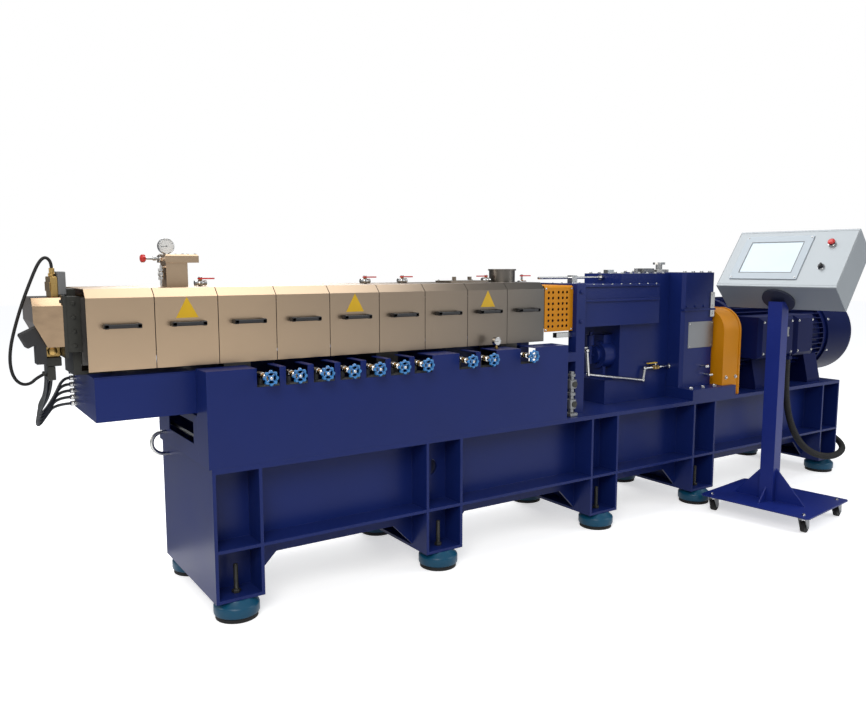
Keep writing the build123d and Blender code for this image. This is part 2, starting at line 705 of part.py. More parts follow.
def die_face_plane(lift):
    """The die's slanted face, with x across it, lifted off by a height."""
    middle = Vector((DIE_LEFT + DIE_HEEL) / 2, 0, (DIE_NOSE + DIE_BOTTOM) / 2)
    run = math.hypot(DIE_HEEL - DIE_LEFT, DIE_NOSE - DIE_BOTTOM)
    out = Vector(-(DIE_NOSE - DIE_BOTTOM) / run, 0, -(DIE_HEEL - DIE_LEFT) / run)
    return Plane(origin=middle + out * lift, x_dir=(0, 1, 0), z_dir=tuple(out))


def die_flange():
    """Clamp plate, adaptor with its lug, and the stay down to the duct."""
    clamp_x = (DIE_RIGHT, DIE_RIGHT + CLAMP_THICK)
    flange = block(clamp_x, (-DIE_HALF, DIE_HALF), CLAMP_Z)
    flange += block((clamp_x[1], 0), (-ADAPTOR_HALF, ADAPTOR_HALF), ADAPTOR_Z)
    flange += block((LUG_X[0], 0), (-LUG_HALF, LUG_HALF), (ADAPTOR_Z[1], ADAPTOR_Z[1] + LUG_RISE))
    flange += block((STAY_X[0], 0), (-STAY_HALF, STAY_HALF), (DUCT_TOP, ADAPTOR_Z[0]))
    stay_plate = (STAY_X[0], DUCT_LEFT + SUPPORT_HALF)
    flange += block(stay_plate, (-STAY_HALF, STAY_HALF), (DUCT_TOP, DUCT_TOP + RIB_THICK))
    return [flange]


def die_heaters():
    """Upper heater on the die, and the lower melt pipe with its bracket and drain."""
    limits = (HEATER_LEFT, DIE_RIGHT)
    width = (-HEATER_HALF, HEATER_HALF)
    upper = block(limits, width, (DIE_TOP, HEATER_TOP))
    upper += block((DIE_RIGHT, LUG_X[0] - 1), width, (CLAMP_Z[1], HEATER_PLATE_TOP))
    upper += cable_gland(DIE_CABLE_ROUTE[0], DIE_CABLE_ROUTE[1], DIE_CABLE_ROUTE[0][2] - HEATER_TOP)
    lower = block((DIE_HEEL, DIE_RIGHT), (-HEATER_HALF + RIB_THICK, HEATER_HALF - RIB_THICK), MELT_PIPE_Z)
    bracket_low = MELT_PIPE_Z[0] - BRACKET_DROP
    lower += block((BRACKET_X[0], DIE_RIGHT - 1), width, (bracket_low, MELT_PIPE_Z[0]))
    lower += block(DRAIN_X, (-HEATER_HALF, 0), (DRAIN_Z, bracket_low))
    lower += cable_gland(DIE_CABLE_ROUTE[-1], DIE_CABLE_ROUTE[-2], GLAND_RADIUS)
    return [upper, lower]


def cable_gland(mouth, toward, length):
    """A round gland behind the place where a cable comes out."""
    out = (Vector(*toward) - Vector(*mouth)).normalized()
    start = Vector(*mouth) - out * length
    return rod(tuple(start), mouth, GLAND_RADIUS, sides=12)


def die_connector():
    """Plug on the slanted face, with the part that hangs below it."""
    y = -DIE_HALF / 2
    plug = extrude(die_face_plane(0) * Pos(y, 0) * Rectangle(PLUG_WIDE, PLUG_TALL), PLUG_LENGTH)
    plug = chamfer(plug.faces().sort_by(Axis.X)[0].edges(), PLUG_CHAMFER)
    hanger_x = (DIE_HEEL - PLUG_WIDE / 2, DIE_HEEL)
    hanger_y = (y - PLUG_WIDE / 2, y + PLUG_WIDE / 2)
    hanger = block(hanger_x, hanger_y, (DIE_BOTTOM - HANGER_DROP, DIE_BOTTOM + HANGER_RISE))
    return [plug + (hanger - die_block())]


def vent_stack():
    """Square duct with a cap that overhangs towards the gears."""
    x = (VENT_X - VENT_HALF, VENT_X + VENT_HALF)
    duct = block(x, (-VENT_HALF, VENT_HALF), (PORT_SEAT, VENT_TOP))
    ends = (VENT_X + VENT_CAP_X[0], VENT_X + VENT_CAP_X[1])
    cap = block(ends, (-VENT_CAP_HALF, VENT_CAP_HALF), (VENT_TOP, VENT_TOP + VENT_CAP))
    cap = chamfer(cap.faces().sort_by(Axis.Z)[-1].edges(), COVER_HEM / 2)
    return [duct + cap]


def charging_ports():
    """Open feed cylinder with a rolled rim, and the blank plate over the closed port."""
    low = PORT_SEAT
    bore = FEED_RADIUS - FEED_WALL
    feed = rod((FEED_X, 0, low), (FEED_X, 0, FEED_TOP), FEED_RADIUS)
    feed += rod((FEED_X, 0, FEED_TOP - FEED_RIM_TALL), (FEED_X, 0, FEED_TOP), FEED_RADIUS + FEED_RIM)
    feed -= rod((FEED_X, 0, low + FEED_FLOOR), (FEED_X, 0, FEED_TOP + 1), bore)
    blank = block(BLANK_X, (-BLANK_HALF, BLANK_HALF), (COVER_TOP, COVER_TOP + BLANK_THICK))
    for x in (BLANK_X[0] + BLANK_HALF, BLANK_X[1] - BLANK_HALF):
        blank += rod((x, 0, COVER_TOP), (x, 0, COVER_TOP + BLANK_STUD), LEVER_HUB, sides=6)
    return [feed, blank]


def lever_base_z(x):
    return COVER_TOP if x < LANTERN_LEFT else SCREEN_TOP


def ball_valve(x):
    """A valve body on its nipple, with end nuts along the machine and the lever's stem."""
    low = lever_base_z(x)
    middle = low + VALVE_BODY
    valve = rod((x - VALVE_BODY, 0, middle), (x + VALVE_BODY, 0, middle), VALVE_BODY, sides=8)
    for end in (x - 2 * VALVE_BODY, x + VALVE_BODY):
        valve += rod((end, 0, middle), (end + VALVE_BODY, 0, middle), VALVE_BODY - 1, sides=6)
    valve += rod((x, 0, low), (x, 0, LEVER_Z - LEVER_THICK / 2 - RUNNING_GAP), STEM_RADIUS, sides=8)
    return valve


def top_fittings():
    """Ball valves, the vent's gauge and its red-knobbed handle."""
    fittings = [ball_valve(x) for x, _ in LEVERS]
    roof = VENT_TOP + VENT_CAP
    dial_x = VENT_X + DIAL_SHIFT
    gauge = rod((dial_x, -DIAL_HALF, roof + DIAL_RISE), (dial_x, DIAL_HALF, roof + DIAL_RISE), DIAL_RADIUS)
    gauge += rod((dial_x, 0, roof), (dial_x, 0, roof + DIAL_RISE), STEM_RADIUS, sides=8)
    knob_z = VENT_TOP + VENT_CAP / 2
    left = VENT_X + VENT_CAP_X[0]
    tip = left - KNOB_REACH
    knob = rod((left, 0, knob_z), (tip, 0, knob_z), STEM_RADIUS, sides=8)
    knob += rod((tip, 0, knob_z), (tip - KNOB_LENGTH, 0, knob_z), KNOB_RADIUS, sides=12)
    return fittings + [gauge, knob]


def top_lever(x, way):
    """A flat lever with a round hub and a rounded end."""
    low = LEVER_Z - LEVER_THICK / 2
    lever = rod((x, 0, low), (x, 0, low + LEVER_THICK), LEVER_HUB, sides=12)
    tip = x + way * (LEVER_LENGTH - LEVER_HALF)
    lever += block((x, tip), (-LEVER_HALF, LEVER_HALF), (low, low + LEVER_THICK))
    return lever + rod((tip, 0, low), (tip, 0, low + LEVER_THICK), LEVER_HALF, sides=12)


def perforated_screen():
    """Folded sheet over the lantern, perforated on both sides."""
    x = (LANTERN_LEFT, SCREEN_RIGHT)
    outer = block(x, (-COVER_HALF, COVER_HALF), (SCREEN_BOTTOM, SCREEN_TOP))
    outer = chamfer(outer.faces().sort_by(Axis.Z)[-1].edges().filter_by(Axis.X), SCREEN_BEND)
    half = COVER_HALF - SCREEN_SHEET
    inner = block((x[0] - 1, x[1] + 1), (-half, half), (SCREEN_BOTTOM - 1, SCREEN_TOP - SCREEN_SHEET))
    inner = chamfer(inner.faces().sort_by(Axis.Z)[-1].edges().filter_by(Axis.X), SCREEN_BEND - 1)
    screen = outer - inner
    holes = []
    for column in HOLE_COLUMNS:
        for row in range(HOLE_ROWS):
            hx = LANTERN_LEFT + column
            hz = SCREEN_TOP - HOLE_FIRST - row * HOLE_PITCH
            holes.append(rod((hx, -COVER_HALF - 1, hz), (hx, COVER_HALF + 1, hz), HOLE_RADIUS, sides=8))
    return [screen - holes]


def lantern():
    """Portal between the barrel and the gears, with the rails to the side covers."""
    frame = block((POST_LEFT, POST_RIGHT), (-POST_HALF, POST_HALF), (BEAM_BOTTOM, SCREEN_TOP + 8))
    frame += block((SECTIONS * SECTION, POST_LEFT), (-LANTERN_HALF, LANTERN_HALF),
                   (BEAM_BOTTOM, SCREEN_TOP - SCREEN_SHEET))
    leg = block((POST_LEFT, POST_RIGHT), (-POST_HALF, -POST_HALF + POST_DEEP), (BASE_TOP, BEAM_BOTTOM))
    rail = block((SIDE_RIGHT, POST_LEFT), (-POST_HALF, -POST_HALF + RAIL_DEEP), RAIL_Z)
    for piece in both_sides(leg + rail):
        frame += piece
    return [frame]


def gear_case():
    """The beam over the screws' shafts, lipped along its joints, and the housing that it passes through."""
    case = block((POST_RIGHT, BEAM_RIGHT), (-BEAM_HALF, BEAM_HALF), (BEAM_BOTTOM, BEAM_TOP))
    for z in BEAM_LIPS:
        lip = BEAM_HALF + BEAM_LIP
        case += block((POST_RIGHT, BEAM_RIGHT - BEAM_LIP), (-lip, lip), (z, z + BEAM_LIP_TALL))
    case += block((HOUSING_LEFT, REDUCER_LEFT), (-HOUSING_HALF, HOUSING_HALF), (HOUSING_BOTTOM, HOUSING_TOP))
    return [case]


def gear_reducer():
    """Split housing with rounded upright corners, and the oil sump before it."""
    plan = Rectangle(REDUCER_RIGHT - REDUCER_LEFT, 2 * REDUCER_HALF)
    middle = ((REDUCER_LEFT + REDUCER_RIGHT) / 2, 0, PLINTH_TOP)
    body = Pos(*middle) * extrude(plan, REDUCER_TOP - PLINTH_TOP)
    body = chamfer(body.edges().filter_by(Axis.Z), REDUCER_CORNER)
    lip = Rectangle(REDUCER_RIGHT - REDUCER_LEFT, 2 * (REDUCER_HALF + REDUCER_LIP))
    body += Pos(middle[0], 0, REDUCER_SPLIT) * extrude(lip, BEAM_LIP_TALL)
    sump = block((SUMP_LEFT, PLINTH_LEFT), (-SUMP_HALF, SUMP_HALF), (BASE_TOP, HOUSING_BOTTOM))
    return [body, sump]


def gear_fittings():
    """Bright pieces on the gears: oil rail, sight unit, breather, tie bar, bolted plate and drains."""
    z = BEAM_TOP + RAIL_RISE
    rail = rod((OIL_RAIL_X[0], 0, z), (OIL_RAIL_X[1], 0, z), OIL_RAIL_RADIUS, sides=8)
    clamp_y = (-RAIL_CLAMP_HALF, RAIL_CLAMP_HALF)
    rail += block(RAIL_CLAMP_X, clamp_y, (BEAM_TOP, z + 2 * OIL_RAIL_RADIUS))
    rail += rod((RAIL_NUT_X[0], 0, z), (RAIL_NUT_X[1], 0, z), RAIL_NUT_RADIUS, sides=8)
    riser = rod((RISER_X, 0, HOUSING_TOP), (RISER_X, 0, HOUSING_TOP + OIL_RISER_TALL), OIL_RISER, sides=8)
    riser += block(RAIL_END_X, (-RAIL_END_HALF, RAIL_END_HALF), (HOUSING_TOP, HOUSING_TOP + RAIL_END_TALL))
    unit = block(SIGHT_X, (-SIGHT_HALF, SIGHT_HALF), (HOUSING_TOP, HOUSING_TOP + SIGHT_TALL))
    low = REDUCER_TOP
    steps = []
    for radius, tall, sides in BREATHER_STEPS:
        steps.append(rod((BREATHER_X, 0, low), (BREATHER_X, 0, low + tall), radius, sides=sides))
        low += tall
    breather = steps[0] + steps[1] + steps[2]
    tie = block((TIE_LEFT, POST_LEFT), TIE_Y, TIE_Z)
    face = -REDUCER_HALF
    plate_y = (face - GEAR_PLATE_THICK, face)
    lower = block(GEAR_PLATE_X, plate_y, (GEAR_PLATE_Z[0], REDUCER_SPLIT))
    upper = block(GEAR_PLATE_X, plate_y, (REDUCER_SPLIT + BEAM_LIP_TALL, GEAR_PLATE_Z[1]))
    pieces = [rail, riser, unit, breather, tie, lower, upper]
    for x, z in DRAINS:
        end = face - DRAIN_REACH
        drain = rod((x, face, z), (x, end, z), DRAIN_RADIUS, sides=8)
        pieces.append(drain + rod((x - DRAIN_HALF, end, z), (x + DRAIN_HALF, end, z), DRAIN_RADIUS, sides=8))
    return pieces


def oil_pump():
    """Pump motor on the gear housing's face, with its terminal box, nose, foot and filter."""
    pump = rod((PUMP_LEFT, PUMP_Y, PUMP_Z), (HOUSING_LEFT, PUMP_Y, PUMP_Z), PUMP_RADIUS)
    pump += rod((PUMP_LEFT - PUMP_NOSE_LENGTH, PUMP_Y, PUMP_Z), (PUMP_LEFT, PUMP_Y, PUMP_Z), PUMP_NOSE)
    box_y = (PUMP_Y - PUMP_BOX_HALF, PUMP_Y + PUMP_BOX_HALF)
    pump += block((PUMP_LEFT + PUMP_FOOT, HOUSING_LEFT), box_y, (PUMP_Z, PUMP_Z + PUMP_BOX_RISE))
    pump += block((PUMP_LEFT + PUMP_FOOT, PUMP_LEFT + 2 * PUMP_FOOT), box_y, (HOUSING_BOTTOM, PUMP_Z))
    x = PUMP_LEFT - FILTER_REACH
    top = PUMP_Z + FILTER_RISE[1]
    pump += rod((x, PUMP_Y, PUMP_Z - FILTER_DROP), (x, PUMP_Y, top + PUMP_FOOT), FILTER_PIPE, sides=8)
    pump += rod((x, PUMP_Y, PUMP_Z), (PUMP_LEFT, PUMP_Y, PUMP_Z), FILTER_PIPE, sides=8)
    pump += rod((x, PUMP_Y, PUMP_Z + FILTER_RISE[0]), (x, PUMP_Y, top), FILTER_RADIUS, sides=12)
    port_z = OIL_ROUTE[0][1]
    port_y = (PUMP_Y - FILTER_PIPE, PUMP_Y + FILTER_PIPE)
    pump += block((x - FILTER_PORT, x), port_y, (port_z - FILTER_PIPE, port_z + FILTER_PIPE))
    return [pump]


def pipe_run(points, radius, bend):
    """Straight pipes that meet in round elbows."""
    run = rod(points[0], points[1], radius, sides=12)
    for start, end in zip(points[1:], points[2:]):
        run += rod(start, end, radius, sides=12)
    for corner in points[1:-1]:
        run += Pos(*corner) * Sphere(bend)
    return run


def oil_pipes():
    """Oil line from the filter to its valve and the reducer, and the stacked fittings by the lantern."""
    first_x, first_z = OIL_ROUTE[0]
    port = PUMP_LEFT - FILTER_REACH - FILTER_PORT
    points = [(port, PUMP_Y, first_z), (first_x, PUMP_Y, first_z)]
    points += [(x, OIL_Y, z) for x, z in OIL_ROUTE]
    last_z = OIL_ROUTE[-1][1]
    line = pipe_run(points + [(REDUCER_LEFT, OIL_Y, last_z)], OIL_RADIUS, OIL_BEND)
    ends = [(OIL_VALVE_X + side * OIL_VALVE_HALF, OIL_Y, last_z) for side in (-1, 1)]
    line += rod(*ends, OIL_VALVE_RADIUS, sides=6)
    stem_top = OIL_LEVER_Z - RUNNING_GAP
    line += rod((OIL_VALVE_X, OIL_Y, last_z), (OIL_VALVE_X, OIL_Y, stem_top), STEM_RADIUS, sides=8)
    foot_x = (STACK_X - STACK_FOOT, STACK_X + STACK_FOOT)
    foot_y = (STACK_Y - STACK_FOOT, STACK_Y + STACK_FOOT)
    stack = block(foot_x, foot_y, (BASE_TOP, BASE_TOP + STACK_FOOT_TALL))
    stack += rod((STACK_X, STACK_Y, BASE_TOP), (STACK_X, STACK_Y, STACK_TOP), STACK_PIPE, sides=12)
    for z, radius, tall in STACK_RINGS:
        stack += rod((STACK_X, STACK_Y, z), (STACK_X, STACK_Y, z + tall), radius, sides=12)
    return [line, stack]


def oil_valve_lever():
    x = OIL_VALVE_X
    lever = rod((x, OIL_Y, OIL_LEVER_Z), (x, OIL_Y, OIL_LEVER_Z + LEVER_THICK), LEVER_HUB, sides=12)
    grip = block((x - OIL_LEVER_LENGTH, x), (OIL_Y - LEVER_HALF, OIL_Y + LEVER_HALF),
                 (OIL_LEVER_Z, OIL_LEVER_Z + LEVER_THICK))
    return [lever + grip]


def hood_outline(outset, x):
    """The guard's arch: upright sides and a flat top with large round corners, open below."""
    half = HOOD_HALF + outset
    top = HOOD_TOP + outset
    corner = HOOD_CORNER + outset
    plane = Plane(origin=(x, 0, 0), x_dir=(0, 1, 0), z_dir=(1, 0, 0))
    tall = top - BASE_TOP + 2 * corner
    return plane * (Pos(0, top - tall / 2) * RectangleRounded(2 * half, tall, corner))


def coupling_guard():
    """Closed hood over the coupling, with a bead at the motor's end."""
    left = REDUCER_RIGHT + HOOD_LEFT_GAP
    hood = extrude(hood_outline(0, left), HOOD_RIGHT - left, dir=(1, 0, 0))
    hood += extrude(hood_outline(HOOD_BEAD, HOOD_RIGHT - HOOD_HEM), HOOD_HEM, dir=(1, 0, 0))
    room = (-2 * HOOD_HALF, 2 * HOOD_HALF)
    hood -= block((left - 1, HOOD_RIGHT + 1), room, (0, BASE_TOP))
    hood -= block((left - 1, PLINTH_RIGHT), room, (0, PLINTH_TOP))
    return [hood]


def motor_section(plane):
    """Cross section of the finned housing."""
    section = Circle(MOTOR_CORE)
    fin = Rectangle(MOTOR_FIN - MOTOR_CORE + 2 * FIN_ROOT, FIN_THICK)
    for index in range(MOTOR_FINS):
        angle = 360 * (index + 0.5) / MOTOR_FINS
        middle = (MOTOR_CORE + MOTOR_FIN) / 2
        section += Rot(0, 0, angle) * Pos(middle, 0) * fin
    return plane * section


def motor():
    """Finned housing between two end shields, on four feet, with its two-part terminal box."""
    axis = Plane(origin=(MOTOR_LEFT, 0, MOTOR_Z), x_dir=(0, 1, 0), z_dir=(1, 0, 0))
    shield = Circle(MOTOR_FIN - SHIELD_STEP)
    body = extrude(axis * shield, SHIELD_LENGTH)
    body += extrude(axis.offset(-SHIELD_LENGTH) * Circle(MOTOR_CORE / 2), SHIELD_LENGTH)
    housing_length = MOTOR_RIGHT - MOTOR_LEFT - 2 * SHIELD_LENGTH
    body += extrude(motor_section(axis.offset(SHIELD_LENGTH)), housing_length)
    body += extrude(axis.offset(SHIELD_LENGTH + housing_length) * shield, SHIELD_LENGTH)
    for x in FOOT_BLOCKS:
        ends = (x, x + FOOT_BLOCK_LENGTH)
        outer = FOOT_BLOCK_HALF
        knee = FOOT_BLOCK_INNER
        for side in (-1, 1):
            outline = [(side * outer, BASE_TOP), (side * outer, BASE_TOP + FOOT_PLATE),
                       (side * (outer - FOOT_LEAN), FOOT_BLOCK_TOP), (side * knee, FOOT_BLOCK_TOP),
                       (side * knee, BASE_TOP)]
            body += plate_yz(outline, ends)
    for x in TERMINALS_X:
        box = block(x, TERMINALS_Y, TERMINALS_Z)
        body += chamfer(box.faces().sort_by(Axis.Y)[0].edges(), TERMINAL_CHAMFER)
    neck = (TERMINALS_X[0][1] - TERMINAL_CHAMFER, TERMINALS_X[1][0] + TERMINAL_CHAMFER)
    body += block(neck, (-MOTOR_FIN - TERMINAL_CHAMFER, TERMINALS_Y[1]), TERMINALS_Z)
    x, y, z = CONDUIT_ROUTE[0]
    body += rod((x, y, z), (x, y, TERMINALS_Z[0]), CONDUIT_NUT, sides=6)
    return [body]


def motor_cowl():
    """Fan cowl with a round rear edge and ring slots."""
    cowl = rod((MOTOR_RIGHT, 0, MOTOR_Z), (COWL_RIGHT, 0, MOTOR_Z), COWL_RADIUS)
    cowl = fillet(cowl.edges().sort_by(Axis.X)[-1], COWL_ROUND)
    rear = Plane(origin=(COWL_RIGHT - COWL_SLOT_DEEP, 0, MOTOR_Z), x_dir=(0, 1, 0), z_dir=(1, 0, 0))
    for radius in COWL_RINGS:
        ring = Circle(radius + COWL_SLOT / 2) - Circle(radius - COWL_SLOT / 2)
        ring -= [Rot(0, 0, angle) * Rectangle(2 * COWL_RADIUS, COWL_SLOT) for angle in COWL_SPOKES]
        cowl -= extrude(rear * ring, 2 * COWL_SLOT_DEEP)
    return [cowl]


def panel_plane(height):
    """The panel's face, with x across it and y up the slope, lifted off by a height."""
    tilt = math.radians(PANEL_TILT)
    normal = (-math.sin(tilt), 0, math.cos(tilt))
    origin = Vector(PANEL_FRONT, 0, PANEL_Z) + Vector(*normal) * height
    return Plane(origin=origin, x_dir=(0, -1, 0), z_dir=normal)


def under_plane(height):
    """The box's underside where the post's axis meets it, with its normal away from the box."""
    tilt = math.radians(PANEL_TILT)
    along = -PANEL_FRONT / math.sin(tilt)
    origin = Vector(0, 0, PANEL_Z - along * math.cos(tilt))
    normal = Vector(-math.cos(tilt), 0, -math.sin(tilt))
    return Plane(origin=origin + normal * height, x_dir=(0, 1, 0), z_dir=tuple(normal))


def hmi_post():
    """Square post with its web on a plate, cut off level in front and along the box's flange behind."""
    half = POST_SIDE / 2
    post = block((-half, half), (-half, half), (CART_TOP, STAND_POST_TOP))
    post -= extrude(under_plane(DISC_THICK) * Rectangle(4 * POST_SIDE, 4 * POST_SIDE), -4 * POST_SIDE)
    plan = RectangleRounded(2 * CART_U, 2 * CART_V, CART_CORNER)
    plate = Pos(CART_SHIFT, 0, CART_TOP - CART_PLATE) * extrude(plan, CART_PLATE)
    web_top = CART_TOP + WEB_RISE
    outline = [(-WEB_HALF, CART_TOP), (-half, web_top), (half, web_top), (WEB_HALF, CART_TOP)]
    web = plate_yz(outline, (-WEB_THICK / 2, WEB_THICK / 2))
    for side in (-1, 1):
        edge = side * half
        gusset = [(edge, CART_TOP), (edge + side * POST_SIDE, CART_TOP), (edge, CART_TOP + POST_SIDE)]
        plate += plate_xz(gusset, (-WEB_THICK / 2, WEB_THICK / 2))
    return [STAND * (post + plate + web)]


def hmi_box():
    """Slanted control box with softened edges."""
    plane = panel_plane(-PANEL_DEPTH)
    case = extrude(plane * Pos(0, PANEL_LENGTH / 2) * Rectangle(2 * PANEL_HALF, PANEL_LENGTH), PANEL_DEPTH)
    return [STAND * chamfer(case.edges(), PANEL_EDGE / 2)]


def hmi_screen():
    """Raised bezel round a recessed pane."""
    middle = Pos(*SCREEN_SPOT)
    bezel = extrude(panel_plane(0) * middle * RectangleRounded(*SCREEN_SIZE, PANEL_EDGE), SCREEN_BEZEL)
    recess = panel_plane(SCREEN_BEZEL - SCREEN_RECESS) * middle * Rectangle(*SCREEN_PANE)
    return [STAND * (bezel - extrude(recess, SCREEN_RECESS))]


def stand_fittings():
    """Collars of the button and the selector, and the round flange under the box."""
    collars = []
    for spot, stem in ((BUTTON_SPOT, BUTTON_STEM), (SELECTOR_SPOT, SELECTOR_STEM)):
        ring = panel_plane(0) * Pos(*spot) * (Circle(COLLAR_RADIUS) - Circle(stem + RUNNING_GAP))
        collars.append(STAND * extrude(ring, COLLAR_HEIGHT))
    return collars + [STAND * extrude(under_plane(0) * Circle(DISC_RADIUS), DISC_THICK)]


def stop_button():
    """Mushroom head on the stem that slides in the collar."""
    lift = COLLAR_HEIGHT + BUTTON_TRAVEL + RUNNING_GAP
    spot = Pos(*BUTTON_SPOT)
    head = extrude(panel_plane(lift) * spot * Circle(BUTTON_RADIUS), BUTTON_THICK)
    head = chamfer(head.edges().sort_by(Axis.Z)[-1], 4)
    stem_low = BUTTON_TRAVEL + STEM_LIFT
    stem = extrude(panel_plane(stem_low) * spot * Circle(BUTTON_STEM), lift - stem_low)
    return STAND * (head + stem)


def selector_knob():
    """Round skirt with a raised finger bar, on a stem in the collar."""
    lift = COLLAR_HEIGHT + RUNNING_GAP
    spot = Pos(*SELECTOR_SPOT)
    skirt = 8.0
    knob = extrude(panel_plane(lift) * spot * Circle(SELECTOR_RADIUS), skirt)
    knob += extrude(panel_plane(lift + skirt) * spot * Rectangle(skirt, 2 * SELECTOR_RADIUS - 3), skirt)
    knob += extrude(panel_plane(STEM_LIFT) * spot * Circle(SELECTOR_STEM), lift - STEM_LIFT)
    return STAND * knob


def caster_places():
    ends = (CART_SHIFT - CART_U + CASTER_INSET, CART_SHIFT + CART_U - CASTER_INSET)
    return [(u, v) for u in ends for v in (-CART_V + CASTER_INSET, CART_V - CASTER_INSET)]


def caster_fork(u, v):
    """Crown, two cheeks that trail behind it, and the axle between them."""
    top = CART_TOP - CART_PLATE - RUNNING_GAP
    axle_u = u + CASTER_TRAIL
    low = top - CASTER_CROWN
    half = CASTER_THICK / 2 + CASTER_SIDE_GAP
    outer = half + CASTER_CHEEK
    fork = rod((u, v, low), (u, v, top), outer, sides=12)
    knee = low + CASTER_CHEEK
    foot = CASTER_RADIUS - CHEEK_DROP
    outline = [(u - half, knee), (axle_u - CHEEK_HALF, foot), (axle_u + CHEEK_HALF, foot),
               (axle_u + CHEEK_HALF - 2, knee)]
    for side in (-1, 1):
        fork += plate_xz(outline, (v + side * half, v + side * outer))
    ends = (v - outer - 2, v + outer + 2)
    fork += rod((axle_u, ends[0], CASTER_RADIUS), (axle_u, ends[1], CASTER_RADIUS), CASTER_AXLE)
    return STAND * fork


def caster_wheel(u, v):
    ends = [(u + CASTER_TRAIL, v + side * CASTER_THICK / 2, CASTER_RADIUS) for side in (-1, 1)]
    return STAND * (rod(*ends, CASTER_RADIUS) - rod(*ends, CASTER_AXLE + AXLE_GAP))


def smooth_tube(points, radius, name, sides=12):
    """A tube along straight runs joined by arcs as large as the runs allow."""
    route = [Vector(*point) for point in points]
    runs = [(b - a).length for a, b in zip(route, route[1:])]
    arcs = []
    for index in range(1, len(route) - 1):
        turn = math.radians((route[index] - route[index - 1]).get_angle(route[index + 1] - route[index]))
        arcs.append(0.45 * min(runs[index - 1], runs[index]) / math.tan(turn / 2))
    path = FilletPolyline(*[tuple(point) for point in route], radius=arcs)
    section = Plane(origin=path @ 0, z_dir=path % 0) * RegularPolygon(radius, sides)
    tube = sweep(section, path=path)
    ratio = tube.volume / (section.area * path.length)
    print(name, "length", round(path.length), "radii", [round(arc) for arc in arcs], "ratio", round(ratio, 4))
    return tube


def heater_conduits():
    """Five thin metal-clad leads from the duct's glands, formed down and up again to the die's bracket."""
    leads = []
    end_z = MELT_PIPE_Z[0] - BRACKET_DROP
    for index, (x, y, z) in enumerate(gland_places()[1:]):
        end_x, end_y = LEAD_ENDS[index]
        low = LEAD_LOW - LEAD_STEP * index
        out = x - LEAD_OUT - LEAD_OUT_STEP * index
        points = [
            (x, y, z), (out, y, z), (out - 34, y - 12, (z + low) / 2), (-118 - 4 * index, y - 42, low),
            (-138 - 3 * index, end_y + 36, low + 46), (end_x, end_y, 960), (end_x, end_y, end_z),
        ]
        leads.append(smooth_tube(points, LEAD_RADIUS, f"heater_lead_{index + 1}", sides=8))
    return leads


def motor_conduit():
    return [smooth_tube(CONDUIT_ROUTE, CONDUIT_RADIUS, "motor_conduit")]


def die_cable():
    return [smooth_tube(DIE_CABLE_ROUTE, DIE_CABLE_RADIUS, "die_cable")]


def hose_loop():
    return [smooth_tube(HOSE_ROUTE, HOSE_RADIUS, "hose_loop")]


def write(name, shapes, shift):
    placed = [shift * solid for shape in shapes for solid in shape.solids()]
    export_step(placed[0] if len(placed) == 1 else Compound(children=placed), f"parts/{name}.step")


def fixed_nodes():
    return {
        "base_frame": base_frame(),
        "foot_pads": foot_pads(),
        "foot_rubbers": foot_rubbers(),
        "side_covers": side_covers(),
        "cooling_valves": cooling_valves(),
        "cable_duct": cable_duct(),
        "barrel_covers": barrel_covers(),
        "cover_handles": cover_handles(),
        "barrel": barrel(),
        "die_head": die_head(),
        "die_flange": die_flange(),
        "die_heaters": die_heaters(),
        "die_connector": die_connector(),
        "heater_conduits": heater_conduits(),
        "die_cable": die_cable(),
        "hose_loop": hose_loop(),
        "vent_stack": vent_stack(),
        "charging_ports": charging_ports(),
        "top_fittings": top_fittings(),
        "perforated_screen": perforated_screen(),
        "lantern": lantern(),
        "gear_case": gear_case(),
        "gear_reducer": gear_reducer(),
        "gear_fittings": gear_fittings(),
        "oil_pump": oil_pump(),
        "oil_pipes": oil_pipes(),
        "coupling_guard": coupling_guard(),
        "motor": motor(),
        "motor_cowl": motor_cowl(),
        "motor_conduit": motor_conduit(),
        "hmi_stand": hmi_post(),
        "hmi_box": hmi_box(),
        "hmi_screen": hmi_screen(),
        "stand_fittings": stand_fittings(),
    }


def moving_nodes():
    nodes = {
        "oil_valve_lever": oil_valve_lever(),
        "stop_button": [stop_button()],
        "selector_knob": [selector_knob()],
    }
    for index, x in enumerate(valve_xs(), 1):
        nodes[f"handwheel_{index:02d}"] = [handwheel(x)]
    for index, (x, way) in enumerate(LEVERS, 1):
        nodes[f"top_lever_{index}"] = [top_lever(x, way)]
    for index, (u, v) in enumerate(caster_places(), 1):
        nodes[f"caster_fork_{index}"] = [caster_fork(u, v)]
        nodes[f"caster_wheel_{index}"] = [caster_wheel(u, v)]
    return nodes


def build():
    """Every node's solids, in the machine frame."""
    return {**fixed_nodes(), **moving_nodes()}


def origin_shift(nodes):
    """Moves the machine frame's origin to the floor under the middle of the whole plant."""
    boxes = [shape.bounding_box() for name, shapes in nodes.items() if name not in CORDS for shape in shapes]
    middle_x = (min(box.min.X for box in boxes) + max(box.max.X for box in boxes)) / 2
    middle_y = (min(box.min.Y for box in boxes) + max(box.max.Y for box in boxes)) / 2
    return Pos(-middle_x, -middle_y, 0)


def main():
    os.makedirs("parts", exist_ok=True)
    nodes = build()
    shift = origin_shift(nodes)
    for name, shapes in nodes.items():
        write(name, shapes, shift)


if __name__ == "__main__":
    main()
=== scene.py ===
import math

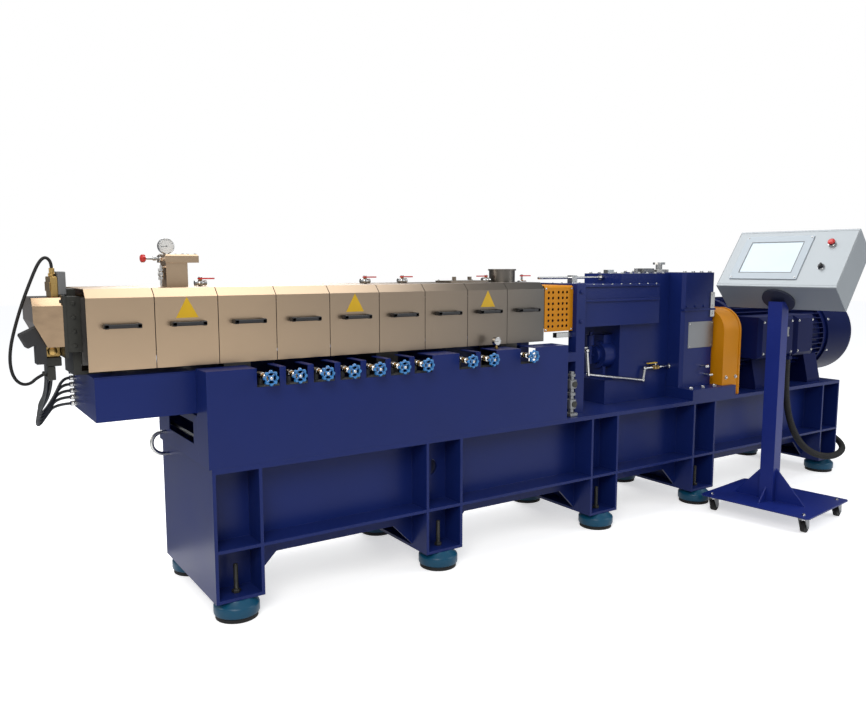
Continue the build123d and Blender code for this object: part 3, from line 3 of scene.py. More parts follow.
import bmesh
import bpy
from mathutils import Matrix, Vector


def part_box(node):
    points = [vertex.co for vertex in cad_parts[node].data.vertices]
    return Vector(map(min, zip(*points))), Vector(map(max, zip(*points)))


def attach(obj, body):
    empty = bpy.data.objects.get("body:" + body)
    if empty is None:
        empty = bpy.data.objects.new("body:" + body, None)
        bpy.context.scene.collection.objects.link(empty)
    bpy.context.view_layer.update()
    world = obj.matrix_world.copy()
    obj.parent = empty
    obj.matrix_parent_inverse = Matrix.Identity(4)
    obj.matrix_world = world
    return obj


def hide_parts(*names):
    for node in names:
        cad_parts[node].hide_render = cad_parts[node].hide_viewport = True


bl_info = {
    "name": "Twin-screw extruder",
    "version": (1, 0, 0),
    "blender": (4, 5, 0),
    "location": "3D View > Sidebar > Extruder",
    "description": "Dresses the extruder's frame with its finishes, fasteners, cords and small parts",
    "category": "Object",
}

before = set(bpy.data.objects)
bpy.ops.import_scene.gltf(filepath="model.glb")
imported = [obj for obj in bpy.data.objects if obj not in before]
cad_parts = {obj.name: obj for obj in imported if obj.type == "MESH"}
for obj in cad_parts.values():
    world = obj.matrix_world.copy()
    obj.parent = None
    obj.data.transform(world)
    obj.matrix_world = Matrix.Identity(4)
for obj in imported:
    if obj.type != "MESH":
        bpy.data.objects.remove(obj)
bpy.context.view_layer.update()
MACHINE = "machine"
X, Y, Z = Vector((1, 0, 0)), Vector((0, 1, 0)), Vector((0, 0, 1))

# The machine's own frame, in millimetres: x along the screws from the die end of the covers, y across
# with 0 on the screw axis, z up from the floor. Its zero is found from the covers.
COVER_END_GAP = 0.0015
COVERS_LOW, COVERS_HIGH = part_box("barrel_covers")
ZERO = Vector((COVERS_LOW[0] - COVER_END_GAP, (COVERS_LOW[1] + COVERS_HIGH[1]) / 2, 0.0))
STAND_TURN = math.radians(7.8)
STAND_AXIS = (3558.0, -738.0)
PANEL_TILT = math.radians(48.6)
PANEL_FRONT = -83.0
PANEL_Z = 1335.0


def at(x, y, z):
    """A point of the machine's frame, as metres in the scene."""
    return ZERO + Vector((x, y, z)) / 1000


def reach(node):
    """The low and the high corner of a node's box, in the machine's frame."""
    return [[round(value * 1000, 1) for value in Vector(corner) - ZERO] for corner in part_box(node)]


def stand_at(u, v, z):
    """A point of the control stand's own frame: u across the panel's slope, v to the operator's left."""
    c, s = math.cos(STAND_TURN), math.sin(STAND_TURN)
    return at(STAND_AXIS[0] + u * c - v * s, STAND_AXIS[1] + u * s + v * c, z)


def panel_at(a, b, lift):
    """A point on the sloping panel: a to the right, b up the slope, lifted off the face."""
    u = PANEL_FRONT + b * math.cos(PANEL_TILT) - lift * math.sin(PANEL_TILT)
    z = PANEL_Z + b * math.sin(PANEL_TILT) + lift * math.cos(PANEL_TILT)
    return stand_at(u, -a, z)


def panel_axes():
    """The panel's right, up-slope and outward directions."""
    origin = panel_at(0, 0, 0)
    return [(panel_at(*step) - origin).normalized() for step in ((1, 0, 0), (0, 1, 0), (0, 0, 1))]


def row(start, end, count):
    """Evenly spaced values from one to another."""
    return [start + (end - start) * i / (count - 1) for i in range(count)]


def facing(xs, ys, zs, direction):
    """Bolt spots at every mix of the given places, all facing one way."""
    return [(at(x, y, z), direction) for x in xs for y in ys for z in zs]


def both_sides(xs, half, zs):
    """Bolt spots on the front and on the back, facing outward."""
    return facing(xs, [-half], zs, -Y) + facing(xs, [half], zs, Y)


def on_top(xs, half, z):
    """Bolt spots in two rows along the machine, facing up."""
    return facing(xs, [-half, half], [z], Z)


# Sizes of the machine

SECTIONS = 9
SECTION = 250.0
_, (_, COVER_HALF, COVER_TOP) = reach("barrel_covers")
(SCREEN_LEFT, _, _), (_, _, SCREEN_TOP) = reach("perforated_screen")
(VENT_LEFT, _, _), (_, _, VENT_TOP) = reach("vent_stack")
_, (_, _, GEAR_TOP) = reach("gear_case")
_, (_, _, REDUCER_TOP) = reach("gear_reducer")
VALVE_XS = [645 + 125.5 * spot for spot in (0, 1, 2, 3, 4, 5, 6, 8, 9, 11)]
LEG_XS = (516, 1530, 2600, 3450, 4826)
LEVER_XS = (505, 1306, 1516, 2040, 2290)
FOOT_Y = 300
SOFT_ANGLE = 35.0


# Shapes

HEX_SIDES, ROD_SIDES, BOLT_SIDES, PIPE_SIDES, HEADER_SIDES = 6, 16, 20, 24, 28
HUB_SIDES, RING_SIDES, KNOB_SIDES, PAD_SIDES = 32, 40, 48, 64


def rounded(length, radius, along, across):
    """A rod's outline with softened ends."""
    return [(0, radius - across), (along, radius), (length - along, radius), (length, radius - across)]


class Shape:
    """Collects solid forms, in metres, and makes one object of them."""

    def __init__(self):
        self.bm = bmesh.new()

    def rings(self, outlines):
        """The points of each outline, as corners of the mesh."""
        return [[self.bm.verts.new(point) for point in outline] for outline in outlines]

    def skin(self, loops):
        """Faces between each loop of corners and the next."""
        for a, b in zip(loops, loops[1:]):
            for i in range(len(a)):
                j = (i + 1) % len(a)
                self.bm.faces.new((a[i], a[j], b[j], b[i]))

    def loft(self, outlines):
        """A solid through outlines, closed at both ends."""
        loops = self.rings(outlines)
        self.skin(loops)
        self.bm.faces.new(list(reversed(loops[0])))
        self.bm.faces.new(loops[-1])

    def hoop(self, outlines):
        """A closed tube through outlines that meet end to end."""
        loops = self.rings(outlines)
        self.skin(loops + loops[:1])

    def lathe(self, origin, axis, profile, sides, lobes=None):
        """Turns a profile of (distance along the axis, radius) in mm round an axis."""
        axis = Vector(axis).normalized()
        side = axis.orthogonal().normalized()
        other = axis.cross(side)
        outlines = []
        for step, radius in profile:
            outline = []
            for i in range(sides):
                angle = 2 * math.pi * i / sides
                out = radius * (lobes(angle) if lobes else 1.0)
                around = side * math.cos(angle) + other * math.sin(angle)
                outline.append(origin + axis * step / 1000 + around * out / 1000)
            outlines.append(outline)
        self.loft(outlines)

    def bar(self, start, end, radius, sides, soft=0.0):
        """A round bar from point to point."""
        length = (end - start).length * 1000
        profile = rounded(length, radius, soft, soft) if soft else [(0, radius), (length, radius)]
        self.lathe(start, end - start, profile, sides)

    def box(self, low, high, soft=0.0, axes=(X, Y, Z), origin=ZERO):
        """A box between two corners in mm, its edges cut at a slant when soft is given."""
        (x0, y0, z0), (x1, y1, z1) = low, high

        def plan(z, inset):
            a, b, d, e = x0 + inset, x1 - inset, y0 + inset, y1 - inset
            corners = [(a, d), (b, d), (b, e), (a, e)]
            if soft:
                corners = [(a + soft, d), (b - soft, d), (b, d + soft), (b, e - soft),
                           (b - soft, e), (a + soft, e), (a, e - soft), (a, d + soft)]
            return [origin + (axes[0] * x + axes[1] * y + axes[2] * z) / 1000 for x, y in corners]

        if soft:
            self.loft([plan(z0, soft), plan(z0 + soft, 0), plan(z1 - soft, 0), plan(z1, soft)])
        else:
            self.loft([plan(z0, 0), plan(z1, 0)])

    def piece(self, name, key, body=MACHINE, slot=None, replaces=()):
        """Makes the object, with a finish. The slot argument is not used."""
        bmesh.ops.recalc_face_normals(self.bm, faces=self.bm.faces)
        mesh = bpy.data.meshes.new(name)
        self.bm.to_mesh(mesh)
        self.bm.free()
        place(name, mesh, paint(key), body, replaces)


def place(name, mesh, material, body=MACHINE, replaces=(), smooth=SOFT_ANGLE):
    """Puts a mesh in the scene as a piece that rides a body."""
    obj = bpy.data.objects.new(name, mesh)
    bpy.context.scene.collection.objects.link(obj)
    if material is not None:
        mesh.materials.clear()
        mesh.materials.append(material)
    for polygon in mesh.polygons:
        polygon.use_smooth = True
    mesh.set_sharp_from_angle(angle=math.radians(smooth))
    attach(obj, body)
    if replaces:
        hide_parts(*replaces)
    return obj


def plain_mesh(obj):
    """The mesh of an object with its modifiers and its thickness."""
    bpy.context.view_layer.update()
    graph = bpy.context.evaluated_depsgraph_get()
    return bpy.data.meshes.new_from_object(obj.evaluated_get(graph), depsgraph=graph)


# Node trees

FLOAT, VECTOR = "NodeSocketFloat", "NodeSocketVector"
GEOMETRY, MATERIAL = "NodeSocketGeometry", "NodeSocketMaterial"


class Tree:
    """Short calls for building a node tree."""

    def __init__(self, tree):
        self.tree = tree

    def link(self, source, target):
        self.tree.links.new(source, target)

    def add(self, kind, values=None, **settings):
        """A node with its settings, and its inputs set or linked."""
        node = self.tree.nodes.new(kind)
        for key, value in settings.items():
            setattr(node, key, value)
        for key, value in (values or {}).items():
            if isinstance(value, bpy.types.NodeSocket):
                self.link(value, node.inputs[key])
            else:
                node.inputs[key].default_value = value
        return node

    def maths(self, operation, a, b, clamp=False):
        return self.add("ShaderNodeMath", {0: a, 1: b}, operation=operation, use_clamp=clamp).outputs[0]

    def product(self, a, b, clamp=False):
        return self.maths("MULTIPLY", a, b, clamp)

    def noise(self, vector, scale, detail):
        node = self.add("ShaderNodeTexNoise", {"Vector": vector, "Scale": scale, "Detail": detail})
        return node.outputs["Fac"]

    def mix(self, factor, a, b):
        """A mix of two colours."""
        a, b = (value if isinstance(value, bpy.types.NodeSocket) else (*value, 1.0) for value in (a, b))
        return self.add("ShaderNodeMix", {0: factor, 6: a, 7: b}, data_type="RGBA").outputs[2]

    def end_painted(self, node, source, result):
        """Ends a geometry tree with the material that came in."""
        values = {"Geometry": node.outputs[0], "Material": source["Material"]}
        self.link(self.add("GeometryNodeSetMaterial", values).outputs[0], result["Geometry"])

    def choice(self, factor, first, second):
        """The first shader at 0 and the second at 1."""
        return self.add("ShaderNodeMixShader", {0: factor, 1: first.outputs[0], 2: second.outputs[0]})


def new_group(name, kind, inputs, outputs):
    """An empty group with its sockets: the builder, what comes in and what goes out."""
    tree = bpy.data.node_groups.new(name, kind)
    for label, socket, default in inputs:
        item = tree.interface.new_socket(label, in_out="INPUT", socket_type=socket)
        if default is not None:
            item.default_value = default
    for label, socket in outputs:
        tree.interface.new_socket(label, in_out="OUTPUT", socket_type=socket)
    build = Tree(tree)
    return build, build.add("NodeGroupInput").outputs, build.add("NodeGroupOutput").inputs


def empty_tree(owner):
    """The cleared node tree of a material or a world."""
    owner.use_nodes = True
    owner.node_tree.nodes.clear()
    return Tree(owner.node_tree)


EDGE_GAIN = 5.0
PATCH_LEVEL, PATCH_GAIN = 0.48, 6.0


def soft_edges_group():
    """Rounded edge normals, and a patchy edge mask: wear, and on the enamels also a painted edge highlight.
    """
    build, source, result = new_group(
        "Soft edges", "ShaderNodeTree",
        [("Vector", VECTOR, None), ("Radius", FLOAT, 0.002), ("Patchiness", FLOAT, 9.0)],
        [("Normal", VECTOR), ("Wear", FLOAT)])
    bevel = build.add("ShaderNodeBevel", {"Radius": source["Radius"]}, samples=4).outputs[0]
    flat = build.add("ShaderNodeNewGeometry").outputs["Normal"]
    dot = build.add("ShaderNodeVectorMath", {0: bevel, 1: flat}, operation="DOT_PRODUCT").outputs["Value"]
    edge = build.product(build.maths("SUBTRACT", 1.0, dot), EDGE_GAIN, clamp=True)
    noise = build.noise(source["Vector"], source["Patchiness"], 4.0)
    patch = build.product(build.maths("SUBTRACT", noise, PATCH_LEVEL), PATCH_GAIN, clamp=True)
    build.link(bevel, result["Normal"])
    build.link(build.product(edge, patch), result["Wear"])
    return build.tree


DUST_SLOPE_POWER = 3.0
DUST_ON_TOP, DUST_ALL_OVER = 0.85, 0.15


def dust_group():
    """A mask of the dust that settles on what faces up."""
    build, source, result = new_group(
        "Settled dust", "ShaderNodeTree",
        [("Vector", VECTOR, None), ("Scale", FLOAT, 6.0), ("Amount", FLOAT, 0.25)],
        [("Mask", FLOAT)])
    normal = build.add("ShaderNodeNewGeometry").outputs["Normal"]
    up = build.add("ShaderNodeSeparateXYZ", {0: normal}).outputs["Z"]
    noise = build.noise(source["Vector"], source["Scale"], 6.0)
    flat = build.maths("POWER", build.maths("MAXIMUM", up, 0.0), DUST_SLOPE_POWER)
    haze = build.maths("ADD", build.product(flat, DUST_ON_TOP), DUST_ALL_OVER)
    build.link(build.product(build.product(haze, noise), source["Amount"], clamp=True), result["Mask"])
    return build.tree


def grain_group():
    """Fine and coarse unevenness of a surface, the fine one stretched by a direction."""
    build, source, result = new_group(
        "Surface grain", "ShaderNodeTree",
        [("Vector", VECTOR, None), ("Stretch", VECTOR, (1.0, 1.0, 1.0)), ("Fine", FLOAT, 900.0),
         ("Broad", FLOAT, 3.0)],
        [("Height", FLOAT), ("Tone", FLOAT)])
    vectors = {0: source["Vector"], 1: source["Stretch"]}
    scaled = build.add("ShaderNodeVectorMath", vectors, operation="MULTIPLY").outputs[0]
    build.link(build.noise(scaled, source["Fine"], 3.0), result["Height"])
    build.link(build.noise(source["Vector"], source["Broad"], 5.0), result["Tone"])
    return build.tree


GROUP_MAKERS = {"edges": soft_edges_group, "dust": dust_group, "grain": grain_group}
GROUPS = {}
DUST_COLOUR = (0.42, 0.40, 0.37)
DUST_ROUGHNESS = 0.5
COAT_ROUGHNESS = 0.12
REFRACTION = 1.5


def finish(name, colour, roughness, metallic=0.0, shade=0.75, wear=None, edge_wear_and_highlight_amount=0.5, dust=0.15, edge=2.0,
           fine=700.0, broad=3.0, stretch=(1, 1, 1), bump=0.15, depth=0.0002, rough_span=0.12, coat=0.0,
           anisotropic=0.0, specular=0.5, far=None):
    """A procedural surface: colour that varies broadly, fine grain, worn edges that on the enamels also carry
    a painted highlight, and settled dust.
    """
    material = bpy.data.materials.new(name)
    build = empty_tree(material)
    place_at = build.add("ShaderNodeTexCoord").outputs["Object"]

    def group(kind, values):
        if kind not in GROUPS:
            GROUPS[kind] = GROUP_MAKERS[kind]()
        return build.add("ShaderNodeGroup", {"Vector": place_at, **values}, node_tree=GROUPS[kind]).outputs

    edges = group("edges", {"Radius": edge / 1000})
    grain = group("grain", {"Stretch": stretch, "Fine": fine, "Broad": broad})
    base = build.mix(grain["Tone"], tuple(channel * shade for channel in colour), colour)
    if far:
        start, end, far_colour = far
        along = build.add("ShaderNodeSeparateXYZ", {0: place_at}).outputs["X"]
        ramp = build.maths("DIVIDE", build.maths("SUBTRACT", along, start), end - start, clamp=True)
        base = build.mix(ramp, base, far_colour)
    # The edge colour is wear; on the enamels it is also a painted highlight along the glossy edges
    if wear:
        base = build.mix(build.product(edges["Wear"], edge_wear_and_highlight_amount), base, wear)
    settled = group("dust", {"Amount": dust})["Mask"]
    base = build.mix(settled, base, DUST_COLOUR)
    rough = build.maths("ADD", build.product(grain["Tone"], rough_span), roughness - rough_span / 2)
    rough = build.maths("ADD", rough, build.product(settled, DUST_ROUGHNESS), clamp=True)
    relief = build.add("ShaderNodeBump", {
        "Strength": bump, "Distance": depth, "Height": grain["Height"], "Normal": edges["Normal"]})
    shader = build.add("ShaderNodeBsdfPrincipled", {
        "Base Color": base, "Roughness": rough, "Normal": relief.outputs[0], "Metallic": metallic,
        "IOR": REFRACTION, "Coat Weight": coat, "Coat Roughness": COAT_ROUGHNESS, "Anisotropic": anisotropic,
        "Specular IOR Level": specular})
    build.add("ShaderNodeOutputMaterial", {0: shader.outputs[0]})
    return material


def colours():
    return bpy.context.scene.extruder_colours


def sizes():
    return bpy.context.scene.extruder_sizes


# The covers grow greyer from the die's end toward the gears
COVERS_FAR = (at(500, 0, 0).x, at(2250, 0, 0).x, (0.150, 0.142, 0.130))

# Each finish: the material's name, its colour or the setting that holds it, and what else it needs
FINISHES = {
    # The enamels' lighter edge colour is partly wear and partly a painted highlight of the glossy paint on
    # its edges
    "enamel_blue": ("Blue machine enamel", "enamel", dict(
        roughness=0.34, shade=0.68, wear=(0.05, 0.07, 0.16), dust=0.012, fine=420, broad=2.2, bump=0.20,
        depth=0.0004, specular=0.22)),
    "enamel_dark": ("Dark blue enamel", (0.0045, 0.0105, 0.082), dict(
        roughness=0.34, shade=0.7, wear=(0.05, 0.06, 0.10), edge_wear_and_highlight_amount=0.4, dust=0.010, fine=420, bump=0.2,
        depth=0.0004, specular=0.09)),
    # A darker, less shiny copy of the motor's dark enamel: painted shade on the cowl
    "enamel_cowl_shaded": ("Cowl enamel", (0.0045, 0.0105, 0.070), dict(
        roughness=0.30, shade=0.7, dust=0.006, fine=420, bump=0.12, depth=0.0004, specular=0.04)),
    "enamel_stand": ("Stand enamel", (0.0105, 0.0250, 0.210), dict(
        roughness=0.36, wear=(0.05, 0.07, 0.16), edge_wear_and_highlight_amount=0.4, dust=0.01, fine=420, bump=0.18,
        depth=0.0004, specular=0.22)),
    # The warm brown colour of the stainless is a painted reflection of a warm room; the steel itself is not
    # brown
    "stainless": ("Brushed stainless", "stainless", dict(
        roughness=0.30, metallic=1.0, shade=0.86, dust=0.05, fine=60, broad=1.6, stretch=(0.25, 30, 30),
        bump=0.10, rough_span=0.10, edge=1.5, anisotropic=0.4, far=COVERS_FAR)),
    "bright_steel": ("Bright steel", (0.62, 0.62, 0.61), dict(
        roughness=0.22, metallic=1.0, shade=0.8, dust=0.05, fine=500, broad=12, bump=0.06, edge=0.8)),
    "tool_steel": ("Ground tool steel", (0.16, 0.155, 0.15), dict(
        roughness=0.38, metallic=0.9, shade=0.6, dust=0.06, fine=80, broad=9, stretch=(4, 1, 1), bump=0.12,
        wear=(0.4, 0.39, 0.37), edge=1.2)),
    "brass": ("Brass", (0.56, 0.37, 0.13), dict(
        roughness=0.30, metallic=1.0, shade=0.7, dust=0.05, fine=300, broad=14, bump=0.08, edge=1.0)),
    "black_plastic": ("Black plastic", (0.012, 0.012, 0.014), dict(
        roughness=0.45, shade=0.7, dust=0.05, fine=1500, broad=20, bump=0.25, edge=1.0)),
    "black_rubber": ("Black rubber", (0.010, 0.010, 0.011), dict(
        roughness=0.65, shade=0.6, dust=0.12, fine=900, broad=14, bump=0.3, edge=1.5, specular=0.3)),
    "orange_powder": ("Orange powder coat", "guard", dict(
        roughness=0.42, shade=0.85, wear=(0.5, 0.28, 0.06), edge_wear_and_highlight_amount=0.4, dust=0.01, fine=800, broad=5,
        bump=0.2, edge=1.5, specular=0.22)),
    "turquoise": ("Turquoise enamel", "foot", dict(
        roughness=0.35, shade=0.7, wear=(0.2, 0.25, 0.25), dust=0.03, fine=500, broad=8, edge=1.5,
        specular=0.35)),
    "sky_blue": ("Sky blue moulding", "wheel", dict(
        roughness=0.20, shade=0.45, dust=0.02, fine=1400, broad=60, bump=0.08, edge=1.0, coat=0.6)),
    "red_plastic": ("Red plastic", (0.62, 0.015, 0.012), dict(
        roughness=0.30, shade=0.8, dust=0.03, fine=1200, broad=30, bump=0.08, edge=0.8, coat=0.3)),
    "yellow_dip": ("Yellow dipped grip", (0.78, 0.50, 0.03), dict(
        roughness=0.35, shade=0.8, dust=0.04, fine=900, broad=20, bump=0.1, edge=0.8)),
    "light_grey": ("Light grey powder coat", (0.345, 0.375, 0.395), dict(
        roughness=0.34, metallic=0.35, shade=0.90, dust=0.02, fine=900, bump=0.12, edge=2.5)),
    "sign_yellow": ("Yellow enamel plate", (0.70, 0.42, 0.005), dict(
        roughness=0.38, shade=0.85, dust=0.03, fine=900, broad=20, bump=0.05, edge=0.4)),
    "dull_grey": ("Dull grey paint", (0.17, 0.175, 0.18), dict(roughness=0.5, dust=0.06, broad=9, edge=1.0)),
    "stand_grey": ("Dark grey paint", (0.022, 0.026, 0.050), dict(
        roughness=0.42, dust=0.02, broad=9, bump=0.12, edge=1.0)),
    "screen_glass": ("Display glass", (0.68, 0.79, 0.86), dict(
        roughness=0.12, shade=0.86, dust=0.01, fine=300, broad=7, bump=0.01, edge=0.4)),
    "bezel_grey": ("Bezel grey", (0.44, 0.50, 0.55), dict(
        roughness=0.38, shade=0.93, dust=0.02, fine=1200, broad=8, bump=0.08, edge=0.8)),
    # The die's tan colour is a painted warm reflection on the polished steel, not the steel's own colour
    "polished_die": ("Polished die steel", (0.66, 0.46, 0.29), dict(
        roughness=0.13, metallic=1.0, shade=0.50, dust=0.02, fine=3.2, broad=7, stretch=(1, 1, 1.5),
        bump=0.35, depth=0.008, edge=1.2, rough_span=0.06)),
    "dark_steel": ("Dark oiled steel", (0.055, 0.055, 0.048), dict(
        roughness=0.40, metallic=0.6, shade=0.6, dust=0.02, fine=200, broad=14, wear=(0.30, 0.29, 0.26),
        edge=1.0)),
    "lead_braid": ("Braided lead", (0.10, 0.105, 0.11), dict(
        roughness=0.45, metallic=0.7, shade=0.45, dust=0.02, fine=1400, broad=60, bump=0.5, depth=0.0006,
        edge=0.5)),
    # The header's near-black colour is painted shade: the valve notches it runs along lie in shade
    "pipe_steel": ("Dull pipe steel", (0.06, 0.062, 0.065), dict(
        roughness=0.5, metallic=0.5, shade=0.7, dust=0.03, fine=300, broad=20, bump=0.12, edge=0.6)),
    "zinc_plate": ("Bare grey plate", (0.27, 0.28, 0.29), dict(
        roughness=0.35, metallic=0.7, shade=0.85, dust=0.02, fine=120, broad=9, stretch=(1, 1, 12), bump=0.08,
        edge=0.5)),
    "dial_face": ("Dial face", (0.72, 0.72, 0.70), dict(
        roughness=0.25, shade=0.95, dust=0.02, fine=300, broad=12, bump=0.02, edge=0.3, coat=0.5)),
}


def paint(key):
    """The material of a finish, made when it is first asked for."""
    name, colour, settings = FINISHES[key]
    if name in bpy.data.materials:
        return bpy.data.materials[name]
    if isinstance(colour, str):
        colour = getattr(colours(), colour)
    return finish(name, colour, **settings)


# The nodes of the frame that carry each finish; numbered nodes are named without their number
PAINTED = (
    ("enamel_blue", ("base_frame", "side_covers", "cable_duct", "lantern", "gear_case", "gear_reducer",
                     "oil_pump")),
    ("enamel_dark", ("motor",)),
    ("enamel_cowl_shaded", ("motor_cowl",)),
    ("enamel_stand", ("hmi_stand",)),
    ("tool_steel", ("barrel",)),
    ("stainless", ("barrel_covers", "vent_stack", "charging_ports")),
    ("polished_die", ("die_head",)),
    ("dark_steel", ("die_flange",)),
    ("brass", ("die_heaters",)),
    ("black_plastic", ("die_connector", "cover_handles", "selector_knob")),
    ("bright_steel", ("cooling_valves", "top_fittings", "gear_fittings", "oil_pipes", "heater_conduits",
                      "hose_loop")),
    ("orange_powder", ("perforated_screen", "coupling_guard")),
    ("yellow_dip", ("oil_valve_lever",)),
    ("light_grey", ("hmi_box",)),
    ("bezel_grey", ("hmi_screen",)),
    ("stand_grey", ("stand_fittings",)),
    ("red_plastic", ("stop_button", "top_lever")),
    ("turquoise", ("foot_pads",)),
    ("black_rubber", ("foot_rubbers", "motor_conduit", "die_cable", "caster_wheel")),
    ("sky_blue", ("handwheel",)),
    ("zinc_plate", ("caster_fork",)),
)
FINISH_OF = {node: key for key, nodes in PAINTED for node in nodes}


# Geometry node trees

HEAD_STRAIGHT = 0.76
CROWN_WIDTH = 0.8


def bolt_tree():
    """Hexagon heads on washers, one at each point, turned to the point's facing."""
    build, source, result = new_group(
        "Bolt heads", "GeometryNodeTree",
        [("Geometry", GEOMETRY, None), ("Washer radius", FLOAT, 0.009), ("Head radius", FLOAT, 0.007),
         ("Head height", FLOAT, 0.005), ("Washer height", FLOAT, 0.0015), ("Material", MATERIAL, None)],
        [("Geometry", GEOMETRY)])
    washer_height, radius, height = source["Washer height"], source["Head radius"], source["Head height"]

    def prism(sides, width, depth):
        return build.add("GeometryNodeMeshCylinder", {"Vertices": sides, "Radius": width, "Depth": depth})

    def lifted(solid, z):
        offset = build.add("ShaderNodeCombineXYZ", {"Z": z}).outputs[0]
        return build.add("GeometryNodeTransform", {"Geometry": solid.outputs["Mesh"], "Translation": offset})

    washer = prism(ROD_SIDES, source["Washer radius"], washer_height)
    straight = build.product(height, HEAD_STRAIGHT)
    head = prism(HEX_SIDES, radius, straight)
    crown = build.add("GeometryNodeMeshCone", {
        "Vertices": HEX_SIDES, "Radius Bottom": radius, "Radius Top": build.product(radius, CROWN_WIDTH),
        "Depth": build.product(height, 1.0 - HEAD_STRAIGHT)})
    joined = build.add("GeometryNodeJoinGeometry")
    for solid, z in ((crown, build.maths("ADD", washer_height, straight)),
                     (head, build.maths("ADD", washer_height, build.product(straight, 0.5))),
                     (washer, build.product(washer_height, 0.5))):
        build.link(lifted(solid, z).outputs[0], joined.inputs[0])
    way = build.add("GeometryNodeInputNamedAttribute", {"Name": "facing"}, data_type="FLOAT_VECTOR")
    turn = build.add("FunctionNodeAlignRotationToVector", {"Vector": way.outputs["Attribute"]}, axis="Z")
    placed = build.add("GeometryNodeInstanceOnPoints", {
        "Points": source["Geometry"], "Instance": joined.outputs[0], "Rotation": turn.outputs[0]})
    real = build.add("GeometryNodeRealizeInstances", {"Geometry": placed.outputs[0]})
    build.end_painted(real, source, result)
    return build.tree


RIB_STEPS = 4.0
RIB_HIGH_STEPS = 1.5
HOSE_SIDES = 20


def corrugated_tree():
    """A ribbed hose along a curve."""
    build, source, result = new_group(
        "Ribbed hose", "GeometryNodeTree",
        [("Geometry", GEOMETRY, None), ("Radius", FLOAT, 0.022), ("Groove", FLOAT, 0.88),
         ("Pitch", FLOAT, 0.012), ("Material", MATERIAL, None)],
        [("Geometry", GEOMETRY)])
    step = build.maths("DIVIDE", source["Pitch"], RIB_STEPS)
    spaced = {"Curve": source["Geometry"], "Length": step}
    even = build.add("GeometryNodeResampleCurve", spaced, mode="LENGTH").outputs[0]
    phase = build.maths("MODULO", build.add("GeometryNodeInputIndex").outputs[0], RIB_STEPS)
    high = build.maths("LESS_THAN", phase, RIB_HIGH_STEPS)
    rise = build.product(high, build.maths("SUBTRACT", 1.0, source["Groove"]))
    scale = build.maths("ADD", source["Groove"], rise)
    section = {"Resolution": HOSE_SIDES, "Radius": source["Radius"]}
    circle = build.add("GeometryNodeCurvePrimitiveCircle", section).outputs["Curve"]
    tube = build.add("GeometryNodeCurveToMesh", {
        "Curve": even, "Profile Curve": circle, "Scale": scale, "Fill Caps": True})
    build.end_painted(tube, source, result)
    return build.tree


def grown(name, source, tree, values):
    """Runs a geometry tree on a mesh or curve object and gives the plain mesh that comes out."""
    modifier = source.modifiers.new("Grow", "NODES")
    modifier.node_group = tree
    sockets = {item.name: item.identifier for item in tree.interface.items_tree
               if item.item_type == "SOCKET" and item.in_out == "INPUT"}
    for key, value in values.items():
        modifier[sockets[key]] = value
    mesh = plain_mesh(source)
    mesh.name = name
    bpy.data.objects.remove(source)
    return mesh


# A bolt's washer radius, head height and washer height, as shares of its head radius
WASHER_REACH = 1.3
HEAD_RISE = 0.75
WASHER_RISE = 0.2
BOLT_SMOOTH = 30


def bolts(name, spots, radius, key="bright_steel"):
    """Bolt heads at (point, facing) spots."""
    mesh = bpy.data.meshes.new(name + "_spots")
    mesh.from_pydata([point for point, _ in spots], [], [])
    ways = mesh.attributes.new("facing", "FLOAT_VECTOR", "POINT")
    for index, (_, direction) in enumerate(spots):
        ways.data[index].vector = direction.normalized()
    holder = bpy.data.objects.new(name + "_spots", mesh)
    bpy.context.scene.collection.objects.link(holder)
    tree = bpy.data.node_groups.get("Bolt heads") or bolt_tree()
    size = radius / 1000
    made = grown(name, holder, tree, {
        "Washer radius": size * WASHER_REACH, "Head radius": size, "Head height": size * HEAD_RISE,
        "Washer height": size * WASHER_RISE, "Material": paint(key)})
    place(name, made, None, smooth=BOLT_SMOOTH)


# Cords

CONDUIT_ROUTE = [
    (4215, -395, 846), (4215, -395, 710), (4212, -410, 555), (4240, -436, 400), (4350, -450, 260),
    (4540, -452, 170), (4770, -440, 130), (4970, -395, 145), (5070, -315, 175), (5085, -215, 222),
    (5022, -160, 250), (4930, -160, 250),
]
DIE_CABLE_ROUTE = [
    (-75, -20, 1442), (-75, -20, 1466), (-96, -22, 1486), (-121, -26, 1462), (-150, -32, 1398),
    (-184, -40, 1315), (-213, -44, 1228), (-234, -46, 1150), (-240, -44, 1084), (-230, -38, 1030),
    (-204, -30, 1000), (-172, -24, 1000), (-150, -20, 1020), (-126, -20, 1032),
]
HOSE_ROUTE = [
    (401, 250, 700), (372, 250, 700), (344, 249, 684), (333, 248, 652), (344, 249, 618),
    (376, 251, 596), (412, 251, 596),
]
CURVE_STEPS = 12
CURVE_ORDER = 3
CORD_SIDES = 6
CORD_SMOOTH = 60


def spline_curve(name, route, radius=0.0, sides=CORD_SIDES):
    """A smooth curve that has the route's points as its control points."""
    curve = bpy.data.curves.new(name, "CURVE")
    curve.dimensions = "3D"
    curve.resolution_u = CURVE_STEPS
    spline = curve.splines.new("NURBS")
    spline.points.add(len(route) - 1)
    for point, (x, y, z) in zip(spline.points, route):
        point.co = (*at(x, y, z), 1.0)
    spline.order_u = CURVE_ORDER
    spline.use_endpoint_u = True
    curve.bevel_depth = radius / 1000
    curve.bevel_resolution = sides
    curve.use_fill_caps = radius > 0
    obj = bpy.data.objects.new(name, curve)
    bpy.context.scene.collection.objects.link(obj)
    return obj


def centre_line(obj):
    """The points of a curve without thickness, in order, and their length."""
    mesh = plain_mesh(obj)
    points = [vertex.co.copy() for vertex in mesh.vertices]
    bpy.data.meshes.remove(mesh)
    return points, sum((b - a).length for a, b in zip(points, points[1:]))


